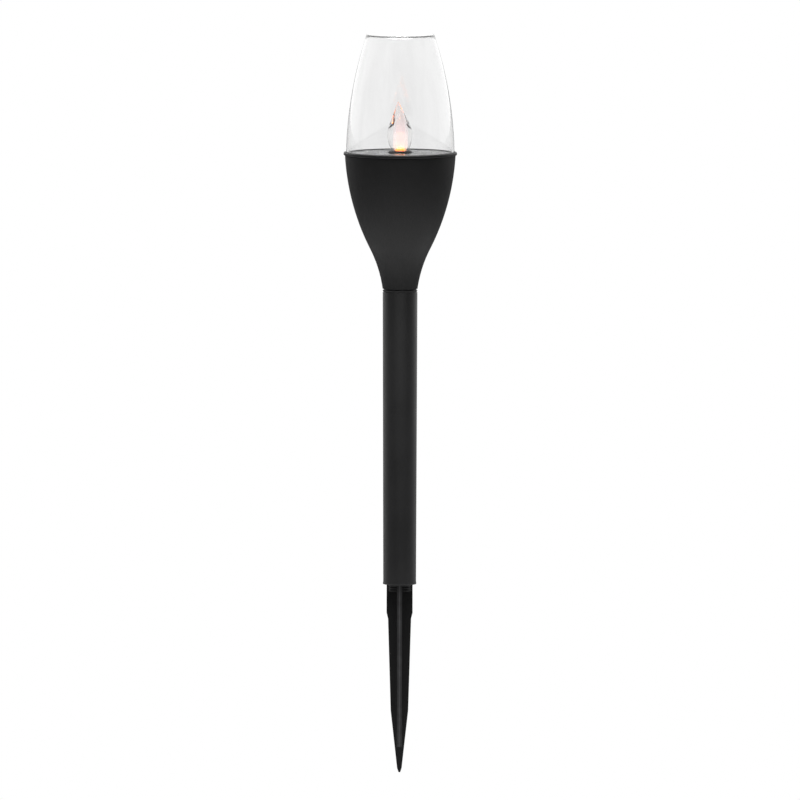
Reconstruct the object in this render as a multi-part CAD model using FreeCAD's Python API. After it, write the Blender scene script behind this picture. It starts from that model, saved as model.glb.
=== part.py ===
import FreeCAD, Part
import math
import os
from FreeCAD import Vector

# A solar garden torch light: a clear tulip shade over a flame-shaped lens and a round solar panel,
# on a flared bowl, a tapered pole and a finned ground spike.
#
# Millimetres, +Z up. The origin is on the torch's axis at ground level, at the pole's lower face,
# so the spike is below zero. +X and +Y are the two directions of the spike's fins.
#
# Four push fits stack up: the pole on the spike, the bowl on the pole, and the lamp head in the bowl.
# The lamp head holds the rest: tray, panel, shade, lens, light, board, cell, switch and cover.

# ---------------------------------------------------------------- driving sizes

# Pole: a moulded tube, wider at the top, with a socket for the spike in its foot.
POLE_LENGTH = 156.4
POLE_TOP_RADIUS = 9.2
POLE_FOOT_RADIUS = 8.7
POLE_LIP = 0.15              # how far the foot's lip stands out
POLE_LIP_HEIGHT = 0.8
POLE_EDGE = 0.4              # rounding of the top edge
POLE_LINE_DEPTH = 0.4        # fine line scored round the pole just below its top
POLE_LINE_DROP = 1.0
POLE_WEB = 2.0               # floor between the socket and the upper bore
POLE_UPPER_WALL = 2.1        # wall of the upper bore at its lower end

POLE_FOOT_WALL = 1.75        # round the socket for the spike
POLE_TOP_WALL = 1.6          # round the bore for the bowl's spigot

# Ground spike: a round plug, then four fins; two of them run on as a blade to the tip.
PLUG_LENGTH = 24.0
PLUG_WALL = 1.7
PLUG_CORE_DEPTH = 19.0
COLLAR_HEIGHT = 3.7          # round part between the fins, below the ground line
COLLAR_SET_IN = 0.6          # of the collar from the fins' outer edges
COLLAR_GROOVE = 0.25
COLLAR_GROOVE_WIDTH = 0.45
COLLAR_GROOVE_DEPTHS = [1.2, 2.4]
SPIKE_LENGTH = 100.5         # below the ground line
FIN_THICKNESS = 2.6
FIN_ROOT_RADIUS = 1.0        # rounding in the corners between the fins
FIN_STRAIGHT = 15.2          # depth at which the fins step in
FIN_STEP_HEIGHT = 3.2
FIN_STEP = 0.8               # how far they step in
KNEE_DEPTH = 67.2            # where the taper steepens
KNEE_RADIUS = 4.65
TIP_RADIUS = 1.2
TIP_LENGTH = 2.4
BLADE_LENGTH = 13.9          # the last stretch, with two fins only
BLADE_GROOVE_WIDTH = 1.3
BLADE_GROOVE_DEPTH = 0.55
BLADE_GROOVE_DROP = 0.6      # below the end of the front and back fins
BLADE_GROOVE_CORNER = 0.3

# Bowl: a flared shell of two arcs, with a spigot that plugs into the pole.
BOWL_HEIGHT = 70.9           # from the neck's lower edge to the mouth
BOWL_MOUTH_RADIUS = 29.3
BOWL_NECK_OVERHANG = 0.05    # past the pole's top
BOWL_MOUTH_ANGLE = 3.1       # lean of the wall from upright, in degrees
BOWL_NECK_ANGLE = 8.0
BOWL_TURN_HEIGHT = 21.3      # above the neck, where the outline turns from hollow to full
BOWL_WALL = 1.6
BOWL_FLOOR = 2.4
MOUTH_WALL = 2.3             # round the bore that the lamp head plugs into
MOUTH_DEPTH = 8.0
NECK_REVEAL = 0.5            # shadow gap between bowl and pole
NECK_REVEAL_DEPTH = 0.7
SPIGOT_LENGTH = 20.0
SPIGOT_WALL = 1.5
DRAIN_RADIUS = 1.5           # weep holes in the bowl's floor and the pole's web

# Lamp head tray: flange, shade groove, panel recess, boss for the flame and a skirt.
FLANGE_OVERHANG = 0.7        # past the bowl's mouth
FLANGE_THICKNESS = 1.6
FLANGE_EDGE = 0.5
DECK_THICKNESS = 1.6
SKIRT_LENGTH = 7.8
SKIRT_WALL = 2.0
SEAL_SECTION = 0.75          # radius of the head seal's round section
SEAL_DROP = 4.0              # from the bowl's mouth down to the seal
SEAL_STANDS_OUT = 0.05       # past the skirt
SHADE_GROOVE_DEPTH = 0.9
PANEL_DROP = 0.2             # of the panel's face below the rim
BOSS_RADIUS = 6.0
BOSS_RISE = 0.8              # above the rim
PANEL_RIM = 1.4              # wall between the shade's groove and the panel
PANEL_EDGE_GAP = 0.15

# Shade: one arc, nearly upright at the foot, closed at the top.
SHADE_SET_IN = 1.35          # from the flange's edge to the shade's foot
SHADE_TOP_RADIUS = 17.8
SHADE_HEIGHT = 62.4          # above the rim
SHADE_FOOT_LEAN = 1.2        # of the wall at the rim, inwards, in degrees
SHADE_WALL = 1.0
SHADE_TOP_THICKNESS = 1.0
SHADE_CORNER = 0.6
SHADE_INNER_CORNER = 1.0
GASKET_THICKNESS = 0.3

# Flame lens: a clear teardrop on a neck, cored for the light.
FLAME_HEIGHT = 24.4          # the teardrop alone
FLAME_RADIUS = 6.7
FLAME_BELLY = 7.2            # height of its widest point
FLAME_BASE_RADIUS = 5.2
FLAME_SHOULDER_RISE = 4.5    # above the belly, where the flank runs on straight to the tip
FLAME_SHOULDER_INSET = 0.95  # of that place, inwards from the belly
FLAME_TIP_RADIUS = 0.35
FLAME_NECK_WALL = 0.75
FLAME_NECK_SHOWN = 1.4       # between the boss and the teardrop
FLAME_LEAN = 2.5             # degrees, towards -X
FLAME_CORE_GAP = 0.15        # round the light
FLAME_CORE_HEIGHT = 21.0     # above the teardrop's base
FLAME_CORE_TAPER = 12.5      # length of the core's pointed end

# Round solar panel: board, four cells laid like a pinwheel, clear resin over them.
PANEL_HOLE_RADIUS = 7.0
BOARD_SHEET = 0.8
CELL_THICKNESS = 0.3
CELL_OFFSET = 7.7            # from the axis to a cell's long edge
CELL_GAP_BETWEEN = 0.2
CELL_SIDE_MARGIN = 5.3       # from a cell's outer edge to the panel's
CELL_CORNER_MARGIN = 0.6
RESIN_THICKNESS = 0.8
RESIN_EDGE = 0.3

# Light: a 5 mm lamp standing up into the flame.
LIGHT_RADIUS = 2.5
LIGHT_RIM = 0.4              # how far its foot stands out
LIGHT_RIM_THICKNESS = 1.0
LIGHT_LENGTH = 8.6
LEG_SIDE = 0.5
LEG_PITCH = 2.54

# Circuit board and what is soldered to it.
BOARD_HALF_LENGTH = 13.0
BOARD_BACK = 12.0
BOARD_FRONT = 7.0
BOARD_THICKNESS = 1.2
BOARD_DROP = 4.4             # from the deck's underside
COMPONENT_ROOM = 4.1         # from the board down to the cell
POST_RADIUS = 1.9
POST_PLACES = [(-9.8, 8.4), (9.8, -4.0)]
CHIP_SIZE = (4.9, 3.9, 1.5)
CHIP_PLACE = (-3.5, 6.2)
CHIP_LEG_PITCH = 1.27
CHIP_LEG_REACH = 0.9
CHIP_LEG_HEIGHT = 0.5
INDUCTOR_RADIUS = 1.5
INDUCTOR_LENGTH = 6.8
INDUCTOR_PLACE = (6.2, 5.6)
RESISTOR_RADIUS = 0.8
RESISTOR_LENGTH = 3.4
RESISTOR_PLACES = [(-8.4, -3.4), (-8.4, 0.4)]
CAPACITOR_RADIUS = 1.5
CAPACITOR_HEIGHT = 3.0
CAPACITOR_PLACE = (1.4, 3.9)

# Cover: a cup that closes the head from below, with the cell's box and the switch.
COVER_FOOT_RADIUS = 22.5
COVER_SHOULDER_SET_IN = 0.9  # from the skirt's outside
COVER_WALL = 1.5
COVER_FLOOR = 1.6
COVER_SPIGOT_HEIGHT = 2.6    # the part inside the skirt
COVER_SPIGOT_GAP = 0.1
COVER_EDGE = 1.2
TOWER_RADIUS = 3.2
TOWER_CIRCLE = 18.5
TOWER_ANGLES = [30, 150, 270]
TRAY_BOSS_RADIUS = 2.5
TOWER_HEIGHT = 6.0           # from the cover's lower face to where a tower meets its boss

# Cell: a rechargeable cell lying along X, between a spring and a plate.
CELL_CAN_RADIUS = 5.25
CELL_CAN_LENGTH = 29.2
CELL_BUTTON_RADIUS = 1.9
CELL_BUTTON_HEIGHT = 0.8
CELL_Y = -3.6
CELL_GAP = 0.35
CELL_LIFT = 0.2              # above the cover's floor
BOX_WALL = 1.2
BOX_HEIGHT = 8.0
CONTACT_THICKNESS = 0.3
CONTACT_WIDTH = 7.0
CONTACT_ABOVE_CELL = 3.55    # from the cell's axis to the contacts' shoulders
CONTACT_LIFT = 0.3           # of the contacts above the cover's floor
CONTACT_TAB_HALF_WIDTH = 1.2
CONTACT_TAB_HEIGHT = 1.8
CONTACT_DIMPLE = 0.5
SPRING_LENGTH = 3.3
SPRING_WIRE = 0.3
SPRING_BASE_RADIUS = 3.6
SPRING_TIP_RADIUS = 1.9
SPRING_TURNS = 3

# Cell door: a plate under the cover on a hinge pin, held by a captive screw.
DOOR_THICKNESS = 1.4
DOOR_GAP = 0.1
DOOR_MARGIN = 1.0
DOOR_CORNER = 1.5
DOOR_RIM_HEIGHT = 1.1
DOOR_RIM_WALL = 1.0
DOOR_RIM_GAP = 0.3
HINGE_RADIUS = 1.2
HINGE_OUT = 1.9              # from the box's inner side to the hinge's axis
HINGE_LENGTH = 14.0
EAR_THICKNESS = 1.8
EAR_GAP = 0.2
HINGE_PIN_RADIUS = 0.6
HINGE_PIN_CLEARANCE = 0.05
DOOR_SCREW_OUT = 2.4         # from the box's other side to the screw's axis
DOOR_SCREW_REACH = 3.6       # into the cover, from its lower face
DOOR_SCREW_CLEARANCE = 0.35  # the screw swings out of its hole with the door
DOOR_TONGUE_RADIUS = 2.4
DOOR_RIB_HALF_LENGTH = 5.0   # finger ribs
DOOR_RIB_HEIGHT = 0.3

# Switch: a slide switch staked to the cover's floor, its slider showing below.
SWITCH_Y = 13.0
SWITCH_LENGTH = 8.6
SWITCH_WIDTH = 3.8
SWITCH_HEIGHT = 3.5
SWITCH_SHELL = 0.6
FRAME_LENGTH = 18.6
FRAME_WIDTH = 4.6
FRAME_SHEET = 0.4
STAKE_PITCH = 15.0
STAKE_RADIUS = 0.9
STAKE_HEAD_RADIUS = 1.5
STAKE_HEAD_HEIGHT = 0.7
SLIDER_TRAVEL = 2.0
SLIDER_LENGTH = 2.8
SLIDER_WIDTH = 1.8
SLIDER_SHOWN = 1.1           # below the cover
SLIDER_GAP = 0.15
SLIDER_SHOE_LENGTH = 4.4
SLIDER_SHOE_HEIGHT = 1.2
SWITCH_POCKET_DEPTH = 0.5
TERMINAL_PITCH = 2.5
TERMINAL_HEIGHT = 2.6
TERMINAL_SIZE = (0.4, 1.0)

# Screws.
COVER_SCREW_RADIUS = 1.1
COVER_SCREW_HEAD_RADIUS = 2.0
COVER_SCREW_HEAD_HEIGHT = 1.4
COVER_SCREW_LENGTH = 9.0
SMALL_SCREW_RADIUS = 0.8
SMALL_SCREW_HEAD_RADIUS = 1.5
SMALL_SCREW_HEAD_HEIGHT = 1.0
SMALL_SCREW_LENGTH = 4.4
CROSS_WIDTH = 0.5
CROSS_DEPTH = 0.6
HEAD_ROOM = 0.3              # round a screw head in its pocket

LEAD_RADIUS = 0.55           # insulated wire
PANEL_LEAD_X = 4.0           # the two holes through the tray
PANEL_LEAD_Y = 10.4
PANEL_LEAD_STEP = 1.2        # from the tray's holes in to the board's pads
LEAD_STRAIGHT = 1.7          # square to a face before a lead bends
LEAD_OVER_BOX = 2.4          # height at which a lead crosses the cell's box
PAD_MARGIN = 1.6             # from the board's edge to a lead's pad

SOCKET_CLEARANCE = 0.05      # radial, spike plug in pole
SPIGOT_CLEARANCE = 0.05      # radial, bowl spigot in pole
SKIRT_CLEARANCE = 0.10       # radial, head skirt in bowl
NECK_CLEARANCE = 0.10        # radial, flame neck in boss
GROOVE_CLEARANCE = 0.10      # radial, shade foot in its groove
HOLE_CLEARANCE = 0.10        # radial, small pieces in holes

# ---------------------------------------------------------------- sizes that follow

NECK_Z = POLE_LENGTH + NECK_REVEAL
MOUTH_Z = NECK_Z + BOWL_HEIGHT
RIM_Z = MOUTH_Z + FLANGE_THICKNESS
PANEL_TOP_Z = RIM_Z - PANEL_DROP
DECK_TOP_Z = PANEL_TOP_Z - RESIN_THICKNESS - BOARD_SHEET
DECK_UNDER_Z = DECK_TOP_Z - DECK_THICKNESS
SKIRT_FOOT_Z = MOUTH_Z - SKIRT_LENGTH
BOSS_TOP_Z = RIM_Z + BOSS_RISE
FLAME_BASE_Z = BOSS_TOP_Z + FLAME_NECK_SHOWN
SHADE_TOP_Z = RIM_Z + SHADE_HEIGHT
SHADE_FOOT_Z = RIM_Z - SHADE_GROOVE_DEPTH + GASKET_THICKNESS
BOARD_TOP_Z = DECK_UNDER_Z - BOARD_DROP
BOARD_UNDER_Z = BOARD_TOP_Z - BOARD_THICKNESS
CELL_Z = BOARD_UNDER_Z - COMPONENT_ROOM - CELL_CAN_RADIUS
COVER_FLOOR_Z = CELL_Z - CELL_CAN_RADIUS - CELL_LIFT
COVER_Z = COVER_FLOOR_Z - COVER_FLOOR
TOWER_Z = COVER_Z + TOWER_HEIGHT
CONTACT_HEIGHT = CELL_LIFT + CELL_CAN_RADIUS + CONTACT_ABOVE_CELL
CONTACT_TAB_Z = COVER_FLOOR_Z + CONTACT_HEIGHT + CONTACT_TAB_HEIGHT / 2
TERMINAL_TOP_Z = COVER_FLOOR_Z + FRAME_SHEET + SWITCH_HEIGHT + TERMINAL_HEIGHT

PLUG_RADIUS = POLE_FOOT_RADIUS - POLE_FOOT_WALL - SOCKET_CLEARANCE
SPIGOT_RADIUS = POLE_TOP_RADIUS - POLE_TOP_WALL - SPIGOT_CLEARANCE
BOWL_NECK_RADIUS = POLE_TOP_RADIUS + BOWL_NECK_OVERHANG
MOUTH_RADIUS = BOWL_MOUTH_RADIUS - MOUTH_WALL
FLANGE_RADIUS = BOWL_MOUTH_RADIUS + FLANGE_OVERHANG
SKIRT_RADIUS = MOUTH_RADIUS - SKIRT_CLEARANCE
SKIRT_INNER_RADIUS = SKIRT_RADIUS - SKIRT_WALL
SEAL_RING_RADIUS = SKIRT_RADIUS + SEAL_STANDS_OUT - SEAL_SECTION
COVER_SHOULDER_RADIUS = SKIRT_RADIUS - COVER_SHOULDER_SET_IN
SHADE_FOOT_RADIUS = FLANGE_RADIUS - SHADE_SET_IN
SHADE_INNER_FOOT_RADIUS = SHADE_FOOT_RADIUS - SHADE_WALL
PANEL_RADIUS = SHADE_INNER_FOOT_RADIUS - GROOVE_CLEARANCE - PANEL_RIM - PANEL_EDGE_GAP
FLAME_CORE_RADIUS = LIGHT_RADIUS + FLAME_CORE_GAP
FLAME_NECK_RADIUS = FLAME_CORE_RADIUS + FLAME_NECK_WALL

CELL_LENGTH_OVER_ALL = CELL_CAN_LENGTH + CELL_BUTTON_HEIGHT
BOX_HALF_LENGTH = (CELL_LENGTH_OVER_ALL + 2 * CONTACT_THICKNESS + CONTACT_DIMPLE + SPRING_LENGTH) / 2
BOX_HALF_WIDTH = CELL_CAN_RADIUS + CELL_GAP
CELL_BUTTON_X = BOX_HALF_LENGTH - CONTACT_THICKNESS - CONTACT_DIMPLE
CELL_FOOT_X = CELL_BUTTON_X - CELL_LENGTH_OVER_ALL

HINGE_Y = CELL_Y + BOX_HALF_WIDTH + HINGE_OUT
DOOR_TOP_Z = COVER_Z - DOOR_GAP
HINGE_Z = DOOR_TOP_Z - HINGE_RADIUS
DOOR_SCREW_Y = CELL_Y - BOX_HALF_WIDTH - DOOR_SCREW_OUT

UP = Vector(0, 0, 1)
ORIGIN = Vector(0, 0, 0)
HALF_RIGHT = math.sqrt(0.5)


# ---------------------------------------------------------------- small shapes

def at(radius, z):
    """A point of an outline that is turned about the torch's axis."""
    return Vector(radius, 0, z)


def outline(start, *steps):
    """A closed wire. A step is the next point, or (through, end) for an arc."""
    edges = []
    here = start
    for step in steps:
        if isinstance(step, tuple):
            through, end = step
            edges.append(Part.Arc(here, through, end).toShape())
        else:
            end = step
            edges.append(Part.LineSegment(here, end).toShape())
        here = end
    if (here - start).Length > 1e-7:
        edges.append(Part.LineSegment(here, start).toShape())
    return Part.Wire(edges)


def facing_out(solid):
    return solid if solid.Volume > 0 else solid.reversed()


def turned(wire):
    """The solid that an outline sweeps about the torch's axis."""
    return facing_out(Part.Face(wire).revolve(ORIGIN, UP, 360))


def rod(radius, low, high, x=0.0, y=0.0):
    return Part.makeCylinder(radius, high - low, Vector(x, y, low))


def rod_along_x(radius, start, end, y, z):
    return Part.makeCylinder(radius, end - start, Vector(start, y, z), Vector(1, 0, 0))


def rod_along_y(radius, start, end, x, z):
    return Part.makeCylinder(radius, end - start, Vector(x, start, z), Vector(0, 1, 0))


def ring(outer, inner, low, high):
    return rod(outer, low, high).cut(rod(inner, low - 1, high + 1))


def block(x_range, y_range, z_range):
    corner = Vector(x_range[0], y_range[0], z_range[0])
    size = [r[1] - r[0] for r in (x_range, y_range, z_range)]
    return Part.makeBox(*size, corner)


def about(middle, half):
    return (middle - half, middle + half)


def upright_edges(solid):
    return [e for e in solid.Edges if abs(abs(e.tangentAt(e.FirstParameter).z) - 1) < 1e-6
            and isinstance(e.Curve, Part.Line)]


def plate(x_range, y_range, z_range, corner):
    """A block with its upright corners rounded."""
    solid = block(x_range, y_range, z_range)
    return solid.makeFillet(corner, upright_edges(solid))


def corner_arc(corner, before, after, radius):
    """Start, through and end of the arc that rounds an outline's square or blunt corner."""
    back = (before - corner).normalize()
    on = (after - corner).normalize()
    half = back.getAngle(on) / 2
    reach = radius / math.tan(half)
    middle = corner + (back + on).normalize() * (radius / math.sin(half) - radius)
    return corner + back * reach, middle, corner + on * reach


def screw(radius, length, head_radius, head_height):
    """A pan-head screw, head down and shank up, with the shank's root at the origin."""
    shank = rod(radius, 0, length - radius)
    point = Part.makeCone(radius, radius * 0.3, radius, Vector(0, 0, length - radius))
    head = rod(head_radius, -head_height, 0)
    rim = [e for e in head.Edges if abs(e.CenterOfMass.z + head_height) < 1e-6]
    head = head.makeFillet(head_height * 0.45, rim)
    cross = block(about(0, head_radius * 0.62), about(0, CROSS_WIDTH / 2),
                  (-head_height - 1, CROSS_DEPTH - head_height))
    turned_cross = cross.copy()
    turned_cross.rotate(ORIGIN, UP, 90)
    return head.fuse([shank, point]).removeSplitter().cut([cross, turned_cross])


def placed(solid, x, y, z):
    moved = solid.copy()
    moved.translate(Vector(x, y, z))
    return moved


def lead(points, radius=LEAD_RADIUS):
    """A wire: straight runs joined by tangent arcs as large as the runs allow."""
    points = [Vector(*p) for p in points]
    edges = []
    here = points[0]
    for before, corner, after in zip(points, points[1:], points[2:]):
        run_in = corner - before
        run_out = after - corner
        half_turn = run_in.getAngle(run_out) / 2
        bend = 0.45 * min(run_in.Length, run_out.Length) / math.tan(half_turn)
        start, through, end = corner_arc(corner, before, after, bend)
        edges.append(Part.LineSegment(here, start).toShape())
        edges.append(Part.Arc(start, through, end).toShape())
        here = end
    edges.append(Part.LineSegment(here, points[-1]).toShape())
    first = points[1] - points[0]
    section = Part.Wire(Part.makeCircle(radius, points[0], first))
    return facing_out(Part.Wire(edges).makePipeShell([section], True, True))


def polar(radius, degrees):
    return radius * math.cos(math.radians(degrees)), radius * math.sin(math.radians(degrees))


# ---------------------------------------------------------------- ground spike

def ground_spike():
    entry = 1.0
    tip_z = TIP_LENGTH - SPIKE_LENGTH
    envelope = turned(outline(
        at(0, PLUG_LENGTH),
        at(PLUG_RADIUS - entry, PLUG_LENGTH),
        at(PLUG_RADIUS, PLUG_LENGTH - entry),
        at(PLUG_RADIUS, -FIN_STRAIGHT),
        at(PLUG_RADIUS - FIN_STEP, -FIN_STRAIGHT - FIN_STEP_HEIGHT),
        at(KNEE_RADIUS, -KNEE_DEPTH),
        at(TIP_RADIUS, tip_z),
        (at(TIP_RADIUS * 0.8, tip_z - TIP_LENGTH * 0.6), at(TIP_RADIUS * 0.25, -SPIKE_LENGTH)),
        at(0, -SPIKE_LENGTH),
    ))
    half = FIN_THICKNESS / 2
    far = PLUG_RADIUS + 1
    collar_radius = PLUG_RADIUS - COLLAR_SET_IN
    collar = rod(collar_radius, -COLLAR_HEIGHT, 1)
    for depth in COLLAR_GROOVE_DEPTHS:
        middle = -depth
        collar = collar.cut(ring(far, collar_radius - COLLAR_GROOVE,
                                 middle - COLLAR_GROOVE_WIDTH / 2, middle + COLLAR_GROOVE_WIDTH / 2))
    quarter = block((half, far), (half, far), (-SPIKE_LENGTH - 1, 0))
    inner = [e for e in upright_edges(quarter)
             if abs(e.CenterOfMass.x - half) + abs(e.CenterOfMass.y - half) < 1e-6]
    quarter = quarter.makeFillet(FIN_ROOT_RADIUS, inner).cut(collar)
    cuts = []
    for turn in range(4):
        cut = quarter.copy()
        cut.rotate(ORIGIN, UP, 90 * turn)
        cuts.append(cut)
    # the front and back fins stop short of the tip with a sloped end
    blade_z = BLADE_LENGTH - SPIKE_LENGTH
    for side in (1, -1):
        wedge = outline(
            Vector(-far, side * half, blade_z - 1),
            Vector(-far, side * far, blade_z + 1),
            Vector(-far, side * far, -SPIKE_LENGTH - 1),
            Vector(-far, side * half, -SPIKE_LENGTH - 1),
        )
        cuts.append(facing_out(Part.Face(wedge).extrude(Vector(2 * far, 0, 0))))
        deep = half - BLADE_GROOVE_DEPTH
        groove_y = (deep, far) if side > 0 else (-far, -deep)
        cuts.append(plate(about(0, BLADE_GROOVE_WIDTH / 2), groove_y,
                          (tip_z, blade_z - BLADE_GROOVE_DROP), BLADE_GROOVE_CORNER))
    core = rod(PLUG_RADIUS - PLUG_WALL, PLUG_LENGTH - PLUG_CORE_DEPTH, PLUG_LENGTH + 1)
    return envelope.cut(cuts + [core])


# ---------------------------------------------------------------- pole

def pole():
    socket_radius = PLUG_RADIUS + SOCKET_CLEARANCE
    spigot_bore = SPIGOT_RADIUS + SPIGOT_CLEARANCE
    web_top = PLUG_LENGTH + POLE_WEB
    seat_z = POLE_LENGTH - SPIGOT_LENGTH - 2.0
    slope = (POLE_TOP_RADIUS - POLE_FOOT_RADIUS) / POLE_LENGTH
    line_z = POLE_LENGTH - POLE_LINE_DROP
    line_radius = POLE_TOP_RADIUS - slope * POLE_LINE_DROP

    lip_edge = 0.2
    lip_radius = POLE_FOOT_RADIUS + POLE_LIP
    tube = turned(outline(
        at(0, 0),
        at(lip_radius - lip_edge, 0),
        at(lip_radius, lip_edge),
        at(lip_radius, POLE_LIP_HEIGHT),
        at(POLE_FOOT_RADIUS + slope * 1.4, POLE_LIP_HEIGHT + 0.6),
        at(line_radius, line_z - POLE_LINE_DEPTH),
        at(line_radius - POLE_LINE_DEPTH, line_z),
        at(line_radius, line_z + POLE_LINE_DEPTH),
        at(POLE_TOP_RADIUS, POLE_LENGTH - POLE_EDGE),
        (at(POLE_TOP_RADIUS - POLE_EDGE * 0.293, POLE_LENGTH - POLE_EDGE * 0.293),
         at(POLE_TOP_RADIUS - POLE_EDGE, POLE_LENGTH)),
        at(0, POLE_LENGTH),
    ))
    entry = 0.4
    socket = turned(outline(
        at(0, -1),
        at(socket_radius + entry, -1),
        at(socket_radius + entry, 0),
        at(socket_radius, entry),
        at(socket_radius, PLUG_LENGTH),
        at(0, PLUG_LENGTH),
    ))
    outer_at_web = POLE_FOOT_RADIUS + slope * web_top
    bore = turned(outline(
        at(0, web_top),
        at(min(outer_at_web - POLE_UPPER_WALL, spigot_bore), web_top),
        at(spigot_bore, seat_z),
        at(spigot_bore, POLE_LENGTH + 1),
        at(0, POLE_LENGTH + 1),
    ))
    drain = rod(DRAIN_RADIUS, 0, web_top + 1)
    return tube.cut([socket, bore, drain])


# ---------------------------------------------------------------- bowl

def flank_angle():
    """The steepest lean of the bowl's outline, where its two arcs meet, in radians."""
    mouth = math.radians(BOWL_MOUTH_ANGLE)
    neck = math.radians(BOWL_NECK_ANGLE)
    gain = BOWL_MOUTH_RADIUS - BOWL_NECK_RADIUS
    low, high = 0.0, math.radians(85)
    for _ in range(60):
        lean = (low + high) / 2
        upper = (BOWL_HEIGHT - BOWL_TURN_HEIGHT) * math.tan((lean + mouth) / 2)
        lower = BOWL_TURN_HEIGHT * math.tan((lean + neck) / 2)
        if upper + lower < gain:
            low = lean
        else:
            high = lean
    return lean


class Flare:
    """The bowl's outline, or the same outline inset by a wall: a full arc above a hollow one."""

    def __init__(self, inset):
        self.flank = flank_angle()
        self.mouth = math.radians(BOWL_MOUTH_ANGLE)
        self.neck = math.radians(BOWL_NECK_ANGLE)
        upper = (BOWL_HEIGHT - BOWL_TURN_HEIGHT) / (math.sin(self.flank) - math.sin(self.mouth))
        lower = BOWL_TURN_HEIGHT / (math.sin(self.flank) - math.sin(self.neck))
        self.upper_centre = at(BOWL_MOUTH_RADIUS - upper * math.cos(self.mouth),
                               MOUTH_Z + upper * math.sin(self.mouth))
        self.lower_centre = at(BOWL_NECK_RADIUS + lower * math.cos(self.neck),
                               NECK_Z - lower * math.sin(self.neck))
        self.upper_radius = upper - inset
        self.lower_radius = lower + inset

    def on_upper(self, lean):
        return self.upper_centre + at(math.cos(lean), -math.sin(lean)) * self.upper_radius

    def on_lower(self, lean):
        return self.lower_centre - at(math.cos(lean), -math.sin(lean)) * self.lower_radius

    def upper_lean_at(self, z):
        return math.asin((self.upper_centre.z - z) / self.upper_radius)

    def lower_lean_at(self, z):
        return math.asin((z - self.lower_centre.z) / self.lower_radius)

    def solid(self, low, high):
        """The turned solid from one height to another, either side of the turn."""
        top = self.upper_lean_at(high)
        foot = self.lower_lean_at(low)
        return turned(outline(
            at(0, high),
            self.on_upper(top),
            (self.on_upper((top + self.flank) / 2), self.on_upper(self.flank)),
            (self.on_lower((self.flank + foot) / 2), self.on_lower(foot)),
            at(0, low),
        ))


def bowl():
    land_z = MOUTH_Z - MOUTH_DEPTH
    floor_top = NECK_Z + BOWL_FLOOR
    shell = Flare(0).solid(NECK_Z, MOUTH_Z)
    cavity = Flare(BOWL_WALL).solid(floor_top, land_z)
    mouth = rod(MOUTH_RADIUS, land_z, MOUTH_Z + 1)
    entry = 1.0
    reveal = rod(BOWL_NECK_RADIUS - NECK_REVEAL_DEPTH, POLE_LENGTH, NECK_Z)
    spigot_foot = POLE_LENGTH - SPIGOT_LENGTH
    spigot = turned(outline(
        at(0, spigot_foot),
        at(SPIGOT_RADIUS - entry, spigot_foot),
        at(SPIGOT_RADIUS, spigot_foot + entry),
        at(SPIGOT_RADIUS, POLE_LENGTH),
        at(0, POLE_LENGTH),
    ))
    hollow = rod(SPIGOT_RADIUS - SPIGOT_WALL, spigot_foot - 1, NECK_Z - 0.2)
    drain = rod(DRAIN_RADIUS, NECK_Z - 1, floor_top + 1)
    return shell.fuse([reveal, spigot]).removeSplitter().cut([cavity, mouth, hollow, drain])


# ---------------------------------------------------------------- lamp head: tray, seal, shade

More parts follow.
